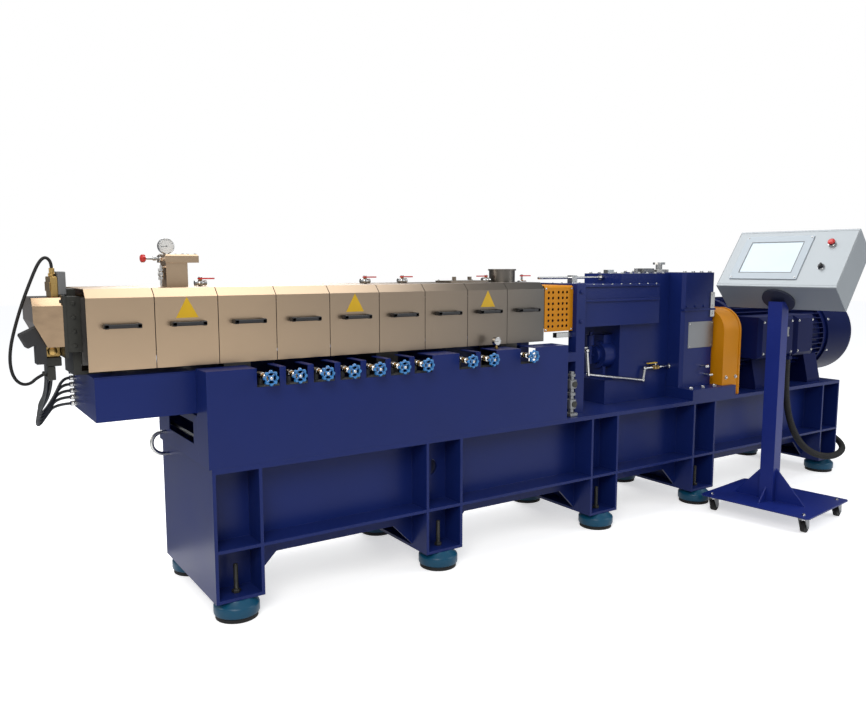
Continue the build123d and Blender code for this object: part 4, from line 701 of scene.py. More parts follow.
# Operators

CAMERA_AT = (-554.8, -3380.2, 1448.6)
CAMERA_YAW = math.radians(33.7177)
CAMERA_PITCH = math.radians(-6.9435)
SENSOR_WIDTH = 36.0
CLIP_END = 60


class EXTRUDER_OT_camera(bpy.types.Operator):
    """Sets the camera where the photograph was taken from"""
    bl_idname = "extruder.camera"
    bl_label = "Camera"

    def execute(self, context):
        data = bpy.data.cameras.new("Camera")
        data.lens = sizes().lens
        data.sensor_width = SENSOR_WIDTH
        data.clip_end = CLIP_END
        camera = bpy.data.objects.new("Camera", data)
        context.scene.collection.objects.link(camera)
        level = math.cos(CAMERA_PITCH)
        forward = Vector((math.sin(CAMERA_YAW) * level, math.cos(CAMERA_YAW) * level, math.sin(CAMERA_PITCH)))
        camera.location = at(*CAMERA_AT)
        camera.rotation_euler = forward.to_track_quat("-Z", "Y").to_euler()
        context.scene.camera = camera
        return {"FINISHED"}


CONDUIT_RADIUS = 22.0
CONDUIT_GROOVE = 0.87
DIE_CABLE_RADIUS = 6.0
HOSE_RADIUS = 9.0


class EXTRUDER_OT_cords(bpy.types.Operator):
    """Makes the free cords: the motor's conduit, the die's cable and the water hose"""
    bl_idname = "extruder.cords"
    bl_label = "Cords"

    def execute(self, context):
        self.conduit()
        self.plain_cord("die_cable_line", "die_cable", DIE_CABLE_ROUTE, DIE_CABLE_RADIUS, "black_rubber",
                        "medium")
        self.plain_cord("hose_loop_line", "hose_loop", HOSE_ROUTE, HOSE_RADIUS, "bright_steel", "stiff")
        return {"FINISHED"}

    def conduit(self):
        """The motor's corrugated conduit."""
        line = spline_curve("motor_conduit_line", CONDUIT_ROUTE)
        path, length = centre_line(line)
        made = grown("motor_conduit_hose", line, corrugated_tree(), {
            "Radius": CONDUIT_RADIUS / 1000, "Groove": CONDUIT_GROOVE, "Pitch": sizes().hose_pitch,
            "Material": paint("black_rubber")})
        hose = place("motor_conduit_hose", made, None, replaces=("motor_conduit",),
                     smooth=CORD_SMOOTH)

    def plain_cord(self, name, node, route, radius, slot, stiffness):
        """A smooth round cord, whose finish has its slot's name."""
        bare = spline_curve(name + "_bare", route)
        path, length = centre_line(bare)
        bpy.data.objects.remove(bare)
        cord = spline_curve(name, route, radius)
        cord.data.materials.append(paint(slot))
        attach(cord, MACHINE)
        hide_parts(node)


class EXTRUDER_OT_finishes(bpy.types.Operator):
    """Paints the frame's own parts"""
    bl_idname = "extruder.finishes"
    bl_label = "Finishes"

    def execute(self, context):
        for name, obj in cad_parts.items():
            material = paint(FINISH_OF[name.rstrip("0123456789_")])
            slots = obj.data.materials
            if len(slots) == 0:
                slots.append(material)
            for index in range(len(slots)):
                slots[index] = material
        return {"FINISHED"}


HANDLE_HALF = 68
HANDLE_FOOT = 18
HANDLE_GRIP = 8
HANDLE_FOOT_LIP = 1.5
HANDLE_EDGE = 2.5


class EXTRUDER_OT_handles(bpy.types.Operator):
    """Bridge handles on the covers"""
    bl_idname = "extruder.handles"
    bl_label = "Cover handles"

    def execute(self, context):
        low, high = reach("cover_handles")
        reach_out, bottom, top = high[1], low[2], high[2]
        shape = Shape()
        for index in range(SECTIONS):
            x = (index + 0.5) * SECTION
            for side in (-1, 1):
                near, far = sorted((side * COVER_HALF, side * reach_out))
                grip_near, grip_far = sorted((side * (reach_out - HANDLE_GRIP), side * reach_out))
                shape.box((x - HANDLE_HALF, grip_near, bottom), (x + HANDLE_HALF, grip_far, top), HANDLE_EDGE)
                for end in (-1, 1):
                    left, right = sorted((x + end * HANDLE_HALF, x + end * (HANDLE_HALF - HANDLE_FOOT)))
                    shape.box((left, near, bottom - HANDLE_FOOT_LIP), (right, far, top + HANDLE_FOOT_LIP),
                              HANDLE_EDGE)
        shape.piece("cover_handles_black", "black_plastic", replaces=("cover_handles",))
        return {"FINISHED"}


WHEEL_LOBES = 8
WHEEL_RADIUS = 33.0
WHEEL_LOBE_DEPTH = 7.5
WHEEL_LOBE_ROUND = 1.6
WHEEL_RIM_INNER = 21
WHEEL_RIM_BACK = 1
WHEEL_RIM_THICK = 13.5
WHEEL_STEPS = 96
# The rim's section, as shares of its width and of its thickness
WHEEL_SECTION = ((0.3, 0.0), (1.0, 0.10), (1.0, 0.70), (0.75, 1.0), (0.25, 1.0), (0.0, 0.75), (0.0, 0.25))
WHEEL_SPOKES = 4
SPOKE_LOW, SPOKE_HIGH = (6, -3.6, 3), (22.5, 3.6, 9)
WHEEL_HUB = ((0, 8), (1, 10.5), (10, 10.5), (11.5, 9))
WHEEL_NUT = ((0, 6.5), (0.3, 7), (3.4, 7), (4.4, 5.5))


class EXTRUDER_OT_handwheels(bpy.types.Operator):
    """Lobed handwheels of the cooling valves"""
    bl_idname = "extruder.handwheels"
    bl_label = "Handwheels"

    def execute(self, context):
        for name in sorted(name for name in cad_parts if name.startswith("handwheel")):
            low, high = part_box(name)
            self.wheel(name, Vector(((low[0] + high[0]) / 2, high[1], (low[2] + high[2]) / 2)))
        return {"FINISHED"}

    def wheel(self, name, back):
        """Round lobes on a rim, spokes and a hub, with a bright nut on the stem."""
        shape = Shape()
        rings = []
        for step in range(WHEEL_STEPS):
            angle = 2 * math.pi * step / WHEEL_STEPS
            dip = (0.5 - 0.5 * math.cos(WHEEL_LOBES * angle)) ** WHEEL_LOBE_ROUND
            width = WHEEL_RADIUS - WHEEL_LOBE_DEPTH * dip - WHEEL_RIM_INNER
            out = X * math.cos(angle) + Z * math.sin(angle)
            rings.append([back + out * (WHEEL_RIM_INNER + width * across) / 1000
                          - Y * (WHEEL_RIM_BACK + WHEEL_RIM_THICK * along) / 1000
                          for across, along in WHEEL_SECTION])
        shape.hoop(rings)
        for spoke in range(WHEEL_SPOKES):
            angle = 2 * math.pi * (spoke + 0.5) / WHEEL_SPOKES
            out = X * math.cos(angle) + Z * math.sin(angle)
            shape.box(SPOKE_LOW, SPOKE_HIGH, 1, axes=[out, (-Y).cross(out), -Y], origin=back)
        shape.lathe(back, -Y, WHEEL_HUB, HUB_SIDES)
        shape.piece(name + "_grip", "sky_blue", body=name, slot="sky_blue_plastic", replaces=(name,))
        nut = Shape()
        nut.lathe(back - Y * WHEEL_HUB[-1][0] / 1000, -Y, WHEEL_NUT, HEX_SIDES)
        nut.piece(name + "_nut", "bright_steel", body=name)


# Turned outlines of a foot: height above the floor and radius
PAD_OUTLINE = ((19, 88), (22, 93), (27, 95), (56, 95), (62, 93), (66, 88), (84, 69), (86.8, 67))
RUBBER_OUTLINE = ((0, 84), (2, 88), (16, 88), (18.8, 85))
JACK_OUTLINE = ((87, 9), (221, 9), (225, 6))
JACK_NUT_OUTLINE = ((101.2, 17), (103, 19), (114, 19), (116.5, 16))
THREAD_FIRST = 120
THREAD_PITCH = 4
THREADS = 26
THREAD_OUTLINE = ((0, 9.2), (1, 10.3), (2, 9.2))


class EXTRUDER_OT_feet(bpy.types.Operator):
    """Turned levelling pads on rubber rings, with dark jack bolts and nuts"""
    bl_idname = "extruder.feet"
    bl_label = "Levelling feet"

    def execute(self, context):
        pads, rubbers, screws = Shape(), Shape(), Shape()
        for x in LEG_XS:
            for y in (-FOOT_Y, FOOT_Y):
                floor = at(x, y, 0)
                pads.lathe(floor, Z, PAD_OUTLINE, PAD_SIDES)
                rubbers.lathe(floor, Z, RUBBER_OUTLINE, PAD_SIDES)
                screws.lathe(floor, Z, JACK_OUTLINE, BOLT_SIDES)
                screws.lathe(floor, Z, JACK_NUT_OUTLINE, HEX_SIDES)
                for thread in range(THREADS):
                    low = THREAD_FIRST + thread * THREAD_PITCH
                    outline = [(low + step, radius) for step, radius in THREAD_OUTLINE]
                    screws.lathe(floor, Z, outline, BOLT_SIDES)
        pads.piece("foot_pads_turned", "turquoise", slot="turquoise_paint", replaces=("foot_pads",))
        screws.piece("jack_bolts", "dark_steel", slot="tool_steel")
        rubbers.piece("foot_rubber_rings", "black_rubber", replaces=("foot_rubbers",))
        return {"FINISHED"}


DIAL_TICKS = 13
DIAL_SWEEP = 260
DIAL_NEEDLE = -95
DIAL_GLASS = 1.6            # the face lies this deep under the rim
DIAL_SHEET = 0.4


def dial(name, centre, out, up, radius, half):
    """A pressure gauge: bright case, pale face with plain ticks and a needle."""
    case = Shape()
    case.lathe(centre - out * half / 1000, out, [
        (0, radius * 0.9), (1.5, radius), (2 * half - 3, radius), (2 * half - 0.6, radius * 0.97),
        (2 * half, radius * 0.9), (2 * half - DIAL_GLASS, radius * 0.88)], KNOB_SIDES)
    case.piece(name + "_case", "bright_steel")
    face = Shape()
    base = centre + out * (half - DIAL_GLASS + 0.05) / 1000
    face.lathe(base, out, [(0, radius * 0.875), (DIAL_SHEET, radius * 0.875)], KNOB_SIDES)
    face.piece(name + "_face", "dial_face", slot="grey_paint")
    marks = Shape()
    side = up.cross(out)
    lifted = base + out * DIAL_SHEET / 1000

    def pointer(degrees, low, high):
        angle = math.radians(degrees)
        along = (up * math.cos(angle) + side * math.sin(angle)).normalized()
        marks.box(low, high, axes=[along, along.cross(out).normalized(), out], origin=lifted)

    for degrees in row(-DIAL_SWEEP / 2, DIAL_SWEEP / 2, DIAL_TICKS):
        pointer(degrees, (radius * 0.66, -0.5, 0), (radius * 0.82, 0.5, 0.3))
    pointer(DIAL_NEEDLE, (-radius * 0.2, -0.7, 0.2), (radius * 0.72, 0.7, 0.7))
    marks.lathe(lifted, out, [(0, 2.4), (1.0, 2.0)], ROD_SIDES)
    marks.piece(name + "_marks", "black_plastic")


# Ball valves on the covers: the body lies along the machine, its lever turns above it
BALL_HALF = 26
BALL_RISE = 13
BALL_BODY = ((0, 9), (0.5, 11.5), (11, 11.5), (11.5, 9.5), (14, 9.5), (17, 12), (21, 13), (31, 13), (35, 12),
             (38, 9.5), (40.5, 9.5), (41, 11.5), (51.5, 11.5), (52, 9))
STEM_TOP = 1392.6
STEM_RADIUS = 6
GLAND_NUT = ((-1, 8.5), (2.2, 8.5), (3, 7.5))
LEVER_NUT = ((0, 7.5), (0.5, 8), (4, 8), (5, 6.5))
LEVER_NUT_Z = 1399

VENT_GAUGE_X = 366
VENT_GAUGE_Z = 1531
VENT_GAUGE_RADIUS = 33
VENT_GAUGE_HALF = 12
VENT_NECK_TOP = 1500
VENT_NECK_NUT = ((0, 11), (1, 12), (7, 12), (8, 11))
KNOB_Z = 1480
KNOB_X = 282
KNOB_ROD_RADIUS = 5.5
KNOB_ROD_NUT = ((0, 13), (1, 14), (9, 14), (10, 12))
KNOB_ROD_COLLAR_X = 324
KNOB_ROD_COLLAR = ((0, 8), (1, 9), (12, 9), (13, 8))
KNOB_OUTLINE = ((0, 8), (2, 14), (5, 17), (16, 17), (20, 14), (22, 9))
KNOB_LOBES = 6
KNOB_LOBE_DEPTH = 0.16
SIDE_VALVE_X, SIDE_VALVE_Y = 338, -18
SIDE_VALVE_TOP = 1452
SIDE_VALVE_ARM_Z = 1446
SIDE_VALVE_ARM_END = 352
SIDE_VALVE_BODY_Z = 1392
SIDE_VALVE_BODY = ((0, 10), (1, 12), (12, 12), (13, 9), (16, 12.5), (24, 13.5), (32, 12.5), (35, 9), (36, 12),
                   (47, 12), (48, 10))


class EXTRUDER_OT_fittings(bpy.types.Operator):
    """Ball valves on the covers, the vent's gauge, its side valve and its red knob"""
    bl_idname = "extruder.fittings"
    bl_label = "Top fittings"

    def execute(self, context):
        steel, gold = Shape(), Shape()
        for x in LEVER_XS:
            low = COVER_TOP if x < SCREEN_LEFT else SCREEN_TOP
            steel.lathe(at(x - BALL_HALF, 0, low + BALL_RISE), X, BALL_BODY, PIPE_SIDES)
            steel.bar(at(x, 0, low), at(x, 0, STEM_TOP), STEM_RADIUS, ROD_SIDES)
            gold.lathe(at(x, 0, low + 2 * BALL_RISE), Z, GLAND_NUT, HEX_SIDES)
        self.vent_rods(steel)
        steel.piece("top_fittings_steel", "bright_steel", replaces=("top_fittings",))
        gold.piece("top_fittings_brass", "brass")
        knob = Shape()
        knob.lathe(at(KNOB_X, 0, KNOB_Z), -X, KNOB_OUTLINE, KNOB_SIDES,
                   lobes=lambda angle: 1.0 - KNOB_LOBE_DEPTH * (0.5 - 0.5 * math.cos(KNOB_LOBES * angle)))
        knob.piece("vent_knob", "red_plastic")
        dial("vent_gauge", at(VENT_GAUGE_X, 0, VENT_GAUGE_Z), -Y, Z, VENT_GAUGE_RADIUS, VENT_GAUGE_HALF)
        self.side_valve()
        for index, x in enumerate(LEVER_XS, 1):
            nut = Shape()
            nut.lathe(at(x, 0, LEVER_NUT_Z), Z, LEVER_NUT, HEX_SIDES)
            nut.piece(f"top_lever_nut_{index}", "bright_steel", body=f"top_lever_{index}")
        return {"FINISHED"}

    def vent_rods(self, steel):
        """The gauge's neck and the red knob's rod with its nut and collar."""
        roof = at(VENT_GAUGE_X, 0, VENT_TOP)
        steel.bar(roof, at(VENT_GAUGE_X, 0, VENT_NECK_TOP), STEM_RADIUS, ROD_SIDES)
        steel.lathe(roof, Z, VENT_NECK_NUT, HEX_SIDES)
        wall = at(VENT_LEFT, 0, KNOB_Z)
        steel.bar(wall, at(KNOB_X, 0, KNOB_Z), KNOB_ROD_RADIUS, BOLT_SIDES)
        steel.lathe(wall, -X, KNOB_ROD_NUT, HEX_SIDES)
        steel.lathe(at(KNOB_ROD_COLLAR_X, 0, KNOB_Z), -X, KNOB_ROD_COLLAR, BOLT_SIDES)

    def side_valve(self):
        """The small valve that stands beside the vent and joins it by an arm."""
        side = Shape()
        foot = at(SIDE_VALVE_X, SIDE_VALVE_Y, COVER_TOP)
        side.bar(foot, at(SIDE_VALVE_X, SIDE_VALVE_Y, SIDE_VALVE_TOP), STEM_RADIUS, ROD_SIDES)
        side.bar(at(SIDE_VALVE_X, SIDE_VALVE_Y, SIDE_VALVE_ARM_Z),
                 at(SIDE_VALVE_ARM_END, SIDE_VALVE_Y, SIDE_VALVE_ARM_Z), STEM_RADIUS, ROD_SIDES)
        side.lathe(at(SIDE_VALVE_X, SIDE_VALVE_Y, SIDE_VALVE_BODY_Z), Z, SIDE_VALVE_BODY, PIPE_SIDES)
        side.piece("vent_side_valve", "bright_steel")


VALVE_Z = 1004
HEADER_Y, HEADER_Z = -300, 944
HEADER_RADIUS = 21
RISER_RADIUS = 11
RISER_LOW, RISER_HIGH = 950, 1000
# The valve's body from the header toward the operator, its cap, and its two brass nuts
BONNET = ((-14, 9), (-12, 13), (6, 14), (30, 14), (34, 10), (52, 10), (54, 13.5), (66, 13.5), (70, 9),
          (81, 8), (81.5, 6), (108.9, 6))
BONNET_CAP = ((-4, 12), (13, 12), (14, 10))
UNION_Y, UNION = -336, ((0, 13), (1, 14), (15, 14), (16, 13))
PACKING_Y, PACKING = -382, ((0, 8.5), (1, 9.5), (8, 9.5), (9, 8.5))
CROSS_PIPES = ((436, 733), (500, 752))
CROSS_HALF = 355
CROSS_RADIUS = 10
WATER_GAUGE_X = 1880
WATER_GAUGE_FOOT, WATER_GAUGE_NECK, WATER_GAUGE_Z = 1040, 1060, 1079
WATER_GAUGE_RADIUS = 21
WATER_GAUGE_HALF = 12
WATER_GAUGE_NUT = ((0, 9), (1, 10), (8, 10), (9, 9))


class EXTRUDER_OT_cooling(bpy.types.Operator):
    """Header pipe, valve bodies with brass unions, cross pipes and the water gauge"""
    bl_idname = "extruder.cooling"
    bl_label = "Cooling valves"

    def execute(self, context):
        steel, gold, pipe, header = Shape(), Shape(), Shape(), Shape()
        low, high = reach("cooling_valves")
        header.bar(at(low[0], HEADER_Y, HEADER_Z), at(high[0], HEADER_Y, HEADER_Z), HEADER_RADIUS,
                   HEADER_SIDES)
        for x in VALVE_XS:
            header.bar(at(x, HEADER_Y, RISER_LOW), at(x, HEADER_Y, RISER_HIGH), RISER_RADIUS, BOLT_SIDES)
            steel.lathe(at(x, HEADER_Y, VALVE_Z), -Y, BONNET, PIPE_SIDES)
            steel.lathe(at(x, HEADER_Y, VALVE_Z), Z, BONNET_CAP, BOLT_SIDES)
            gold.lathe(at(x, UNION_Y, VALVE_Z), -Y, UNION, HEX_SIDES)
            gold.lathe(at(x, PACKING_Y, VALVE_Z), -Y, PACKING, HEX_SIDES)
        for x, z in CROSS_PIPES:
            pipe.bar(at(x, -CROSS_HALF, z), at(x, CROSS_HALF, z), CROSS_RADIUS, PIPE_SIDES)
        # The header takes the near-black finish, which paints the shade of the valve notches
        header.piece("cooling_header", "pipe_steel", slot="bright_steel", replaces=("cooling_valves",))
        pipe.piece("cooling_cross_pipes", "bright_steel")
        steel.piece("cooling_valve_bodies", "bright_steel")
        gold.piece("cooling_valve_unions", "brass")
        stem = Shape()
        foot = at(WATER_GAUGE_X, HEADER_Y, WATER_GAUGE_FOOT)
        stem.bar(foot, at(WATER_GAUGE_X, HEADER_Y, WATER_GAUGE_NECK), STEM_RADIUS, ROD_SIDES)
        stem.lathe(foot, Z, WATER_GAUGE_NUT, HEX_SIDES)
        stem.piece("water_gauge_stem", "brass")
        dial("water_gauge", at(WATER_GAUGE_X, HEADER_Y, WATER_GAUGE_Z), -Y, Z, WATER_GAUGE_RADIUS,
             WATER_GAUGE_HALF)
        return {"FINISHED"}


# Square pieces of the die end: low corner, high corner and softened edge
UPPER_BAND = ((-88, -60, 1331), (-62, 60, 1409), 2)
BAND_STRIP = ((-91, -64, 1352), (-88, 64, 1388), 1)
LOWER_BAND = ((-120, -46, 1101), (-63, 46, 1147), 2)
HEATER_PLATE = ((-61.5, -60, 1339.2), (-33, 60, 1428), 2)
BRACKET = ((-118, -60, 1066), (-63, 60, 1100.8), 2)
BRACKET_LEG = ((-114, -60, 1012), (-86, -2, 1066), 2)
# Turned pieces: where they start, and steps along with radii
CABLE_PLUG_AT = (-75, -20, 1409)
CABLE_PLUG = ((0, 12), (1, 13.5), (12, 13.5), (13, 12), (14, 10), (32, 10), (33, 8))
BAND_NUT_AT = (-92, -46, 1124)
BAND_NUT = ((-1, 19), (2, 19), (4, 17), (9, 17), (10, 15))
CABLE_SOCKET = ((0, 12), (5, 12), (6, 10), (8.5, 9))
CABLE_SOCKET_LONG = 8.5
CLAMP_X, CLAMP_Y, CLAMP_ZS = -62, 128, (1165, 1315, 4)
ADAPTOR_X, ADAPTOR_Y, ADAPTOR_ZS = -26, -140, (1150, 1310, 4)
VENT_CAP_XS, VENT_CAP_Y = (356, 418, 470), 52
GLAND = ((0, 11), (6, 11), (7, 9.5), (9, 9.5), (10, 11), (19, 10), (22, 7.5))
GLAND_X, GLAND_Y, GLAND_TOP, GLAND_PITCH = 20, 188, 1012, 27
GLANDS = 6
LEADS = 5
LEAD_RADIUS = 6.0
LEAD_ENDS = ((-106, 50), (-88, 50), (-106, 34), (-88, 34), (-106, 18))
LEAD_END_Z = BRACKET[0][2]
LEAD_LOW, LEAD_LOW_STEP = 846, 12
LEAD_END_RISE = 106         # the last straight stretch, up to the bracket


def lead_route(index):
    """One heater lead, from its gland on the duct down and up to the bracket under the die."""
    end_x, end_y = LEAD_ENDS[index]
    low = LEAD_LOW - LEAD_LOW_STEP * index
    x, y, z = GLAND_X - GLAND[-1][0], GLAND_Y, GLAND_TOP - GLAND_PITCH * (index + 1)
    out = x - 26 - 9 * index
    return [(x, y, z), (out, y, z), (out - 34, y - 12, (z + low) / 2), (-118 - 4 * index, y - 42, low),
            (-138 - 3 * index, end_y + 36, low + 46), (end_x, end_y, LEAD_END_Z - LEAD_END_RISE),
            (end_x, end_y, LEAD_END_Z)]


class EXTRUDER_OT_die(bpy.types.Operator):
    """Heater bands, bracket, glands, leads and bolts at the die end"""
    bl_idname = "extruder.die"
    bl_label = "Die end"

    def execute(self, context):
        gold, grey, dark = Shape(), Shape(), Shape()
        gold.box(*UPPER_BAND)
        gold.box(*BAND_STRIP)
        gold.lathe(at(*CABLE_PLUG_AT), Z, CABLE_PLUG, PIPE_SIDES)
        gold.box(*LOWER_BAND)
        gold.lathe(at(*BAND_NUT_AT), -Y, BAND_NUT, HEX_SIDES)
        grey.box(*HEATER_PLATE)
        dark.box(*BRACKET)
        dark.box(*BRACKET_LEG)
        cable_end = at(*DIE_CABLE_ROUTE[-1])
        toward = (at(*DIE_CABLE_ROUTE[-2]) - cable_end).normalized()
        dark.lathe(cable_end - toward * CABLE_SOCKET_LONG / 1000, toward, CABLE_SOCKET, PIPE_SIDES)
        gold.piece("die_heater_bands", "brass", replaces=("die_heaters",))
        grey.piece("die_heater_plate", "dull_grey", slot="tool_steel")
        dark.piece("die_bracket", "dark_steel", slot="tool_steel")
        glands = Shape()
        for index in range(GLANDS):
            glands.lathe(at(GLAND_X, GLAND_Y, GLAND_TOP - GLAND_PITCH * index), -X, GLAND, PIPE_SIDES)
        glands.piece("duct_glands", "bright_steel")
        clamps = facing([CLAMP_X], [-CLAMP_Y, CLAMP_Y], row(*CLAMP_ZS), -X)
        bolts("clamp_bolts", clamps, 9, "dark_steel")
        bolts("adaptor_bolts", facing([ADAPTOR_X], [ADAPTOR_Y], row(*ADAPTOR_ZS), -Y), 8, "dark_steel")
        bolts("vent_cap_bolts", on_top(VENT_CAP_XS, VENT_CAP_Y, VENT_TOP), 5)
        self.formed_leads()
        return {"FINISHED"}

    def formed_leads(self):
        """The formed metal-clad heater leads, as one mesh."""
        joined = bmesh.new()
        for index in range(LEADS):
            curve = spline_curve(f"lead_{index}", lead_route(index), LEAD_RADIUS, 3)
            mesh = plain_mesh(curve)
            joined.from_mesh(mesh)
            bpy.data.meshes.remove(mesh)
            bpy.data.objects.remove(curve)
        bmesh.ops.remove_doubles(joined, verts=joined.verts, dist=1e-6)
        bmesh.ops.recalc_face_normals(joined, faces=joined.faces)
        mesh = bpy.data.meshes.new("heater_leads_formed")
        joined.to_mesh(mesh)
        joined.free()
        place("heater_leads_formed", mesh, paint("lead_braid"),
              replaces=("heater_conduits",), smooth=CORD_SMOOTH)


OIL_Y, OIL_Z = -172, 841
OIL_ROUTE = ((2753, -50, 975), (2630, -50, 975), (2630, OIL_Y, 975), (2645, OIL_Y, 838), (3098, OIL_Y, 770),
             (3112, OIL_Y, OIL_Z), (3335, OIL_Y, OIL_Z))
OIL_RADIUS = 8.5
ELBOW = ((0, 4), (2, 8.3), (5, 11), (9, 12.3), (12.5, 12.6), (16, 12.3), (20, 11), (23, 8.3), (25, 4))
OIL_NUT = ((0, 14), (1, 15), (12, 15), (13, 14))
OIL_VALVE_X, OIL_VALVE_LEFT = 3205, 3177
OIL_STEM_TOP = 865.6
OIL_VALVE = ((0, 12), (1, 14), (14, 14), (16, 12.5), (20, 15), (36, 15), (40, 12.5), (42, 14), (55, 14),
             (56, 12))
STACK_X, STACK_Y = 2390, -305
STACK_FOOT, STACK_PIPE_LOW, STACK_PIPE_HIGH = 648, 668, 890
STACK_HALF = 26
STACK_PIPE_RADIUS = 13
# Height, radius and length of the stacked fittings
STACKED = ((690, 26, 50), (760, 22, 18), (800, 27, 46), (862, 20, 16))
SIGHT_ZS = (715, 823)
SIGHT_GLASS = ((-3, 17), (1.5, 17), (2, 15))


class EXTRUDER_OT_oil(bpy.types.Operator):
    """Smooth oil line with its brass-bodied valve, and the stacked fittings by the lantern"""
    bl_idname = "extruder.oil"
    bl_label = "Oil line"

    def execute(self, context):
        line = Shape()
        for start, end in zip(OIL_ROUTE, OIL_ROUTE[1:]):
            line.bar(at(*start), at(*end), OIL_RADIUS, PIPE_SIDES)
        for corner in OIL_ROUTE[1:-1]:
            line.lathe(at(*corner) - Z * ELBOW[-1][0] / 2000, Z, ELBOW, PIPE_SIDES)
        line.lathe(at(*OIL_ROUTE[-1]), -X, OIL_NUT, HEX_SIDES)
        line.bar(at(OIL_VALVE_X, OIL_Y, OIL_Z), at(OIL_VALVE_X, OIL_Y, OIL_STEM_TOP), STEM_RADIUS, ROD_SIDES)
        line.piece("oil_pipes_bright", "bright_steel", replaces=("oil_pipes",))
        stack = Shape()
        stack.box((STACK_X - STACK_HALF, STACK_Y - STACK_HALF, STACK_FOOT),
                  (STACK_X + STACK_HALF, STACK_Y + STACK_HALF, STACK_PIPE_LOW), 3)
        stack.bar(at(STACK_X, STACK_Y, STACK_PIPE_LOW), at(STACK_X, STACK_Y, STACK_PIPE_HIGH),
                  STACK_PIPE_RADIUS, PIPE_SIDES, 2)
        for z, radius, tall in STACKED:
            stack.lathe(at(STACK_X, STACK_Y, z), Z, rounded(tall, radius, 2, 3), HUB_SIDES)
        stack.piece("stacked_fittings", "zinc_plate", slot="bright_steel")
        body = Shape()
        body.lathe(at(OIL_VALVE_LEFT, OIL_Y, OIL_Z), X, OIL_VALVE, HEX_SIDES)
        body.piece("oil_valve_body", "brass")
        sights = Shape()
        for z in SIGHT_ZS:
            sights.lathe(at(STACK_X, STACK_Y - STACK_HALF, z), -Y, SIGHT_GLASS, HUB_SIDES)
        sights.piece("stack_sight_faces", "dark_steel", slot="tool_steel")
        return {"FINISHED"}


BEAM_LIP_XS, BEAM_LIP_Y, BEAM_LIP_Z = (2560, 3150, 9), 207, 1346
HOUSING_XS, HOUSING_Y = (2945, 3300, 6), 128
REDUCER_XS = (3365, 3600, 4)
REDUCER_COVER_Y, REDUCER_SIDE_Y, REDUCER_SIDE_Z = 236, 260, 1206
PLINTH_XS, PLINTH_Y, PLINTH_Z = (3370, 3700, 4), 310, 712
POST_X, POST_Y, POST_ZS = 2489, 262, (1150, 1310)
TERMINAL_XS, TERMINAL_Y, TERMINAL_ZS = (3915, 4213, 4292, 4444), -420, (900, 1098)
COWL_X, COWL_Z, COWL_RADIUS, COWL_SCREWS = 4902, 965, 285, 8
GUARD_XS, GUARD_Y, GUARD_Z = (3675, 3770), 330, 760
SCREEN_XS, SCREEN_ZS = (2262, 2446), (1112, 1330)
BLANK_XS, BLANK_Y, BLANK_Z = (1775, 1882, 1990), 58, 1374
GEAR_PLATE_X, GEAR_PLATE_Y, GEAR_PLATE_ZS = 3593.5, -272, (1155, 1168, 1206, 1275)
CART_US, CART_VS, CART_Z = (-150, 285), (-270, 270), 102


class EXTRUDER_OT_bolts(bpy.types.Operator):
    """Bolt heads and screws over the machine"""
    bl_idname = "extruder.bolts"
    bl_label = "Bolts"

    def execute(self, context):
        covers = row(*REDUCER_XS)
        bolts("beam_lip_bolts", on_top(row(*BEAM_LIP_XS), BEAM_LIP_Y, BEAM_LIP_Z), 5)
        bolts("housing_bolts", on_top(row(*HOUSING_XS), HOUSING_Y, GEAR_TOP), 9)
        bolts("reducer_cover_bolts", on_top(covers, REDUCER_COVER_Y, REDUCER_TOP), 10)
        for name, side in (("reducer_front_bolts", -1), ("reducer_back_bolts", 1)):
            spots = facing(covers, [side * REDUCER_SIDE_Y], [REDUCER_SIDE_Z], side * Y)
            bolts(name, spots, 7, "enamel_blue")
        bolts("plinth_bolts", on_top(row(*PLINTH_XS), PLINTH_Y, PLINTH_Z), 12)
        bolts("post_bolts", both_sides([POST_X], POST_Y, POST_ZS), 10, "enamel_blue")
        bolts("terminal_box_screws", facing(TERMINAL_XS, [TERMINAL_Y], TERMINAL_ZS, -Y), 6)
        bolts("cowl_screws", self.round_the_cowl(), 7)
        bolts("guard_bolts", both_sides(GUARD_XS, GUARD_Y, [GUARD_Z]), 9)
        bolts("screen_screws", both_sides(SCREEN_XS, COVER_HALF, SCREEN_ZS), 4.5)
        bolts("blank_plate_screws", on_top(BLANK_XS, BLANK_Y, BLANK_Z), 5)
        bolts("gear_plate_bolts", facing([GEAR_PLATE_X], [GEAR_PLATE_Y], GEAR_PLATE_ZS, -Y), 6)
        bolts("cart_bolts", [(stand_at(u, v, CART_Z), Z) for u in CART_US for v in CART_VS], 8)
        return {"FINISHED"}

    def round_the_cowl(self):
        """Screws round the motor's cowl, facing outward."""
        spots = []
        for index in range(COWL_SCREWS):
            angle = 2 * math.pi * (index + 0.5) / COWL_SCREWS
            out = Y * math.cos(angle) + Z * math.sin(angle)
            spots.append((at(COWL_X, 0, COWL_Z) + out * COWL_RADIUS / 1000, out))
        return spots


# The display on the sloping panel: its centre, and half widths along a and b
DISPLAY_A, DISPLAY_B = -84, 215
PANE_A, PANE_B, PANE_LOW, PANE_HIGH = 149.5, 112.5, 3.05, 3.9
RIM_A, RIM_B, RIM_LOW, RIM_HIGH, RIM_WIDE = 154, 117, 6, 6.6, 4
BEZEL_A, BEZEL_B, BEZEL_TOP = 184, 150, 6
STOP_A, STOP_B, STOP_LIFT = 222, 315, 5
STOP_RING = ((0, 21), (4, 21), (5, 19.5), (6, 17.6))
STOP_HEAD = ((0, 8), (7.4, 8), (7.5, 15), (9, 18.5), (12, 20), (15, 19.6), (18, 17), (20.4, 12), (21.3, 6))
SELECTOR_A, SELECTOR_B = 217, 145
SELECTOR_RING = ((0, 19.5), (3, 19.5), (4, 18), (5, 17.6))
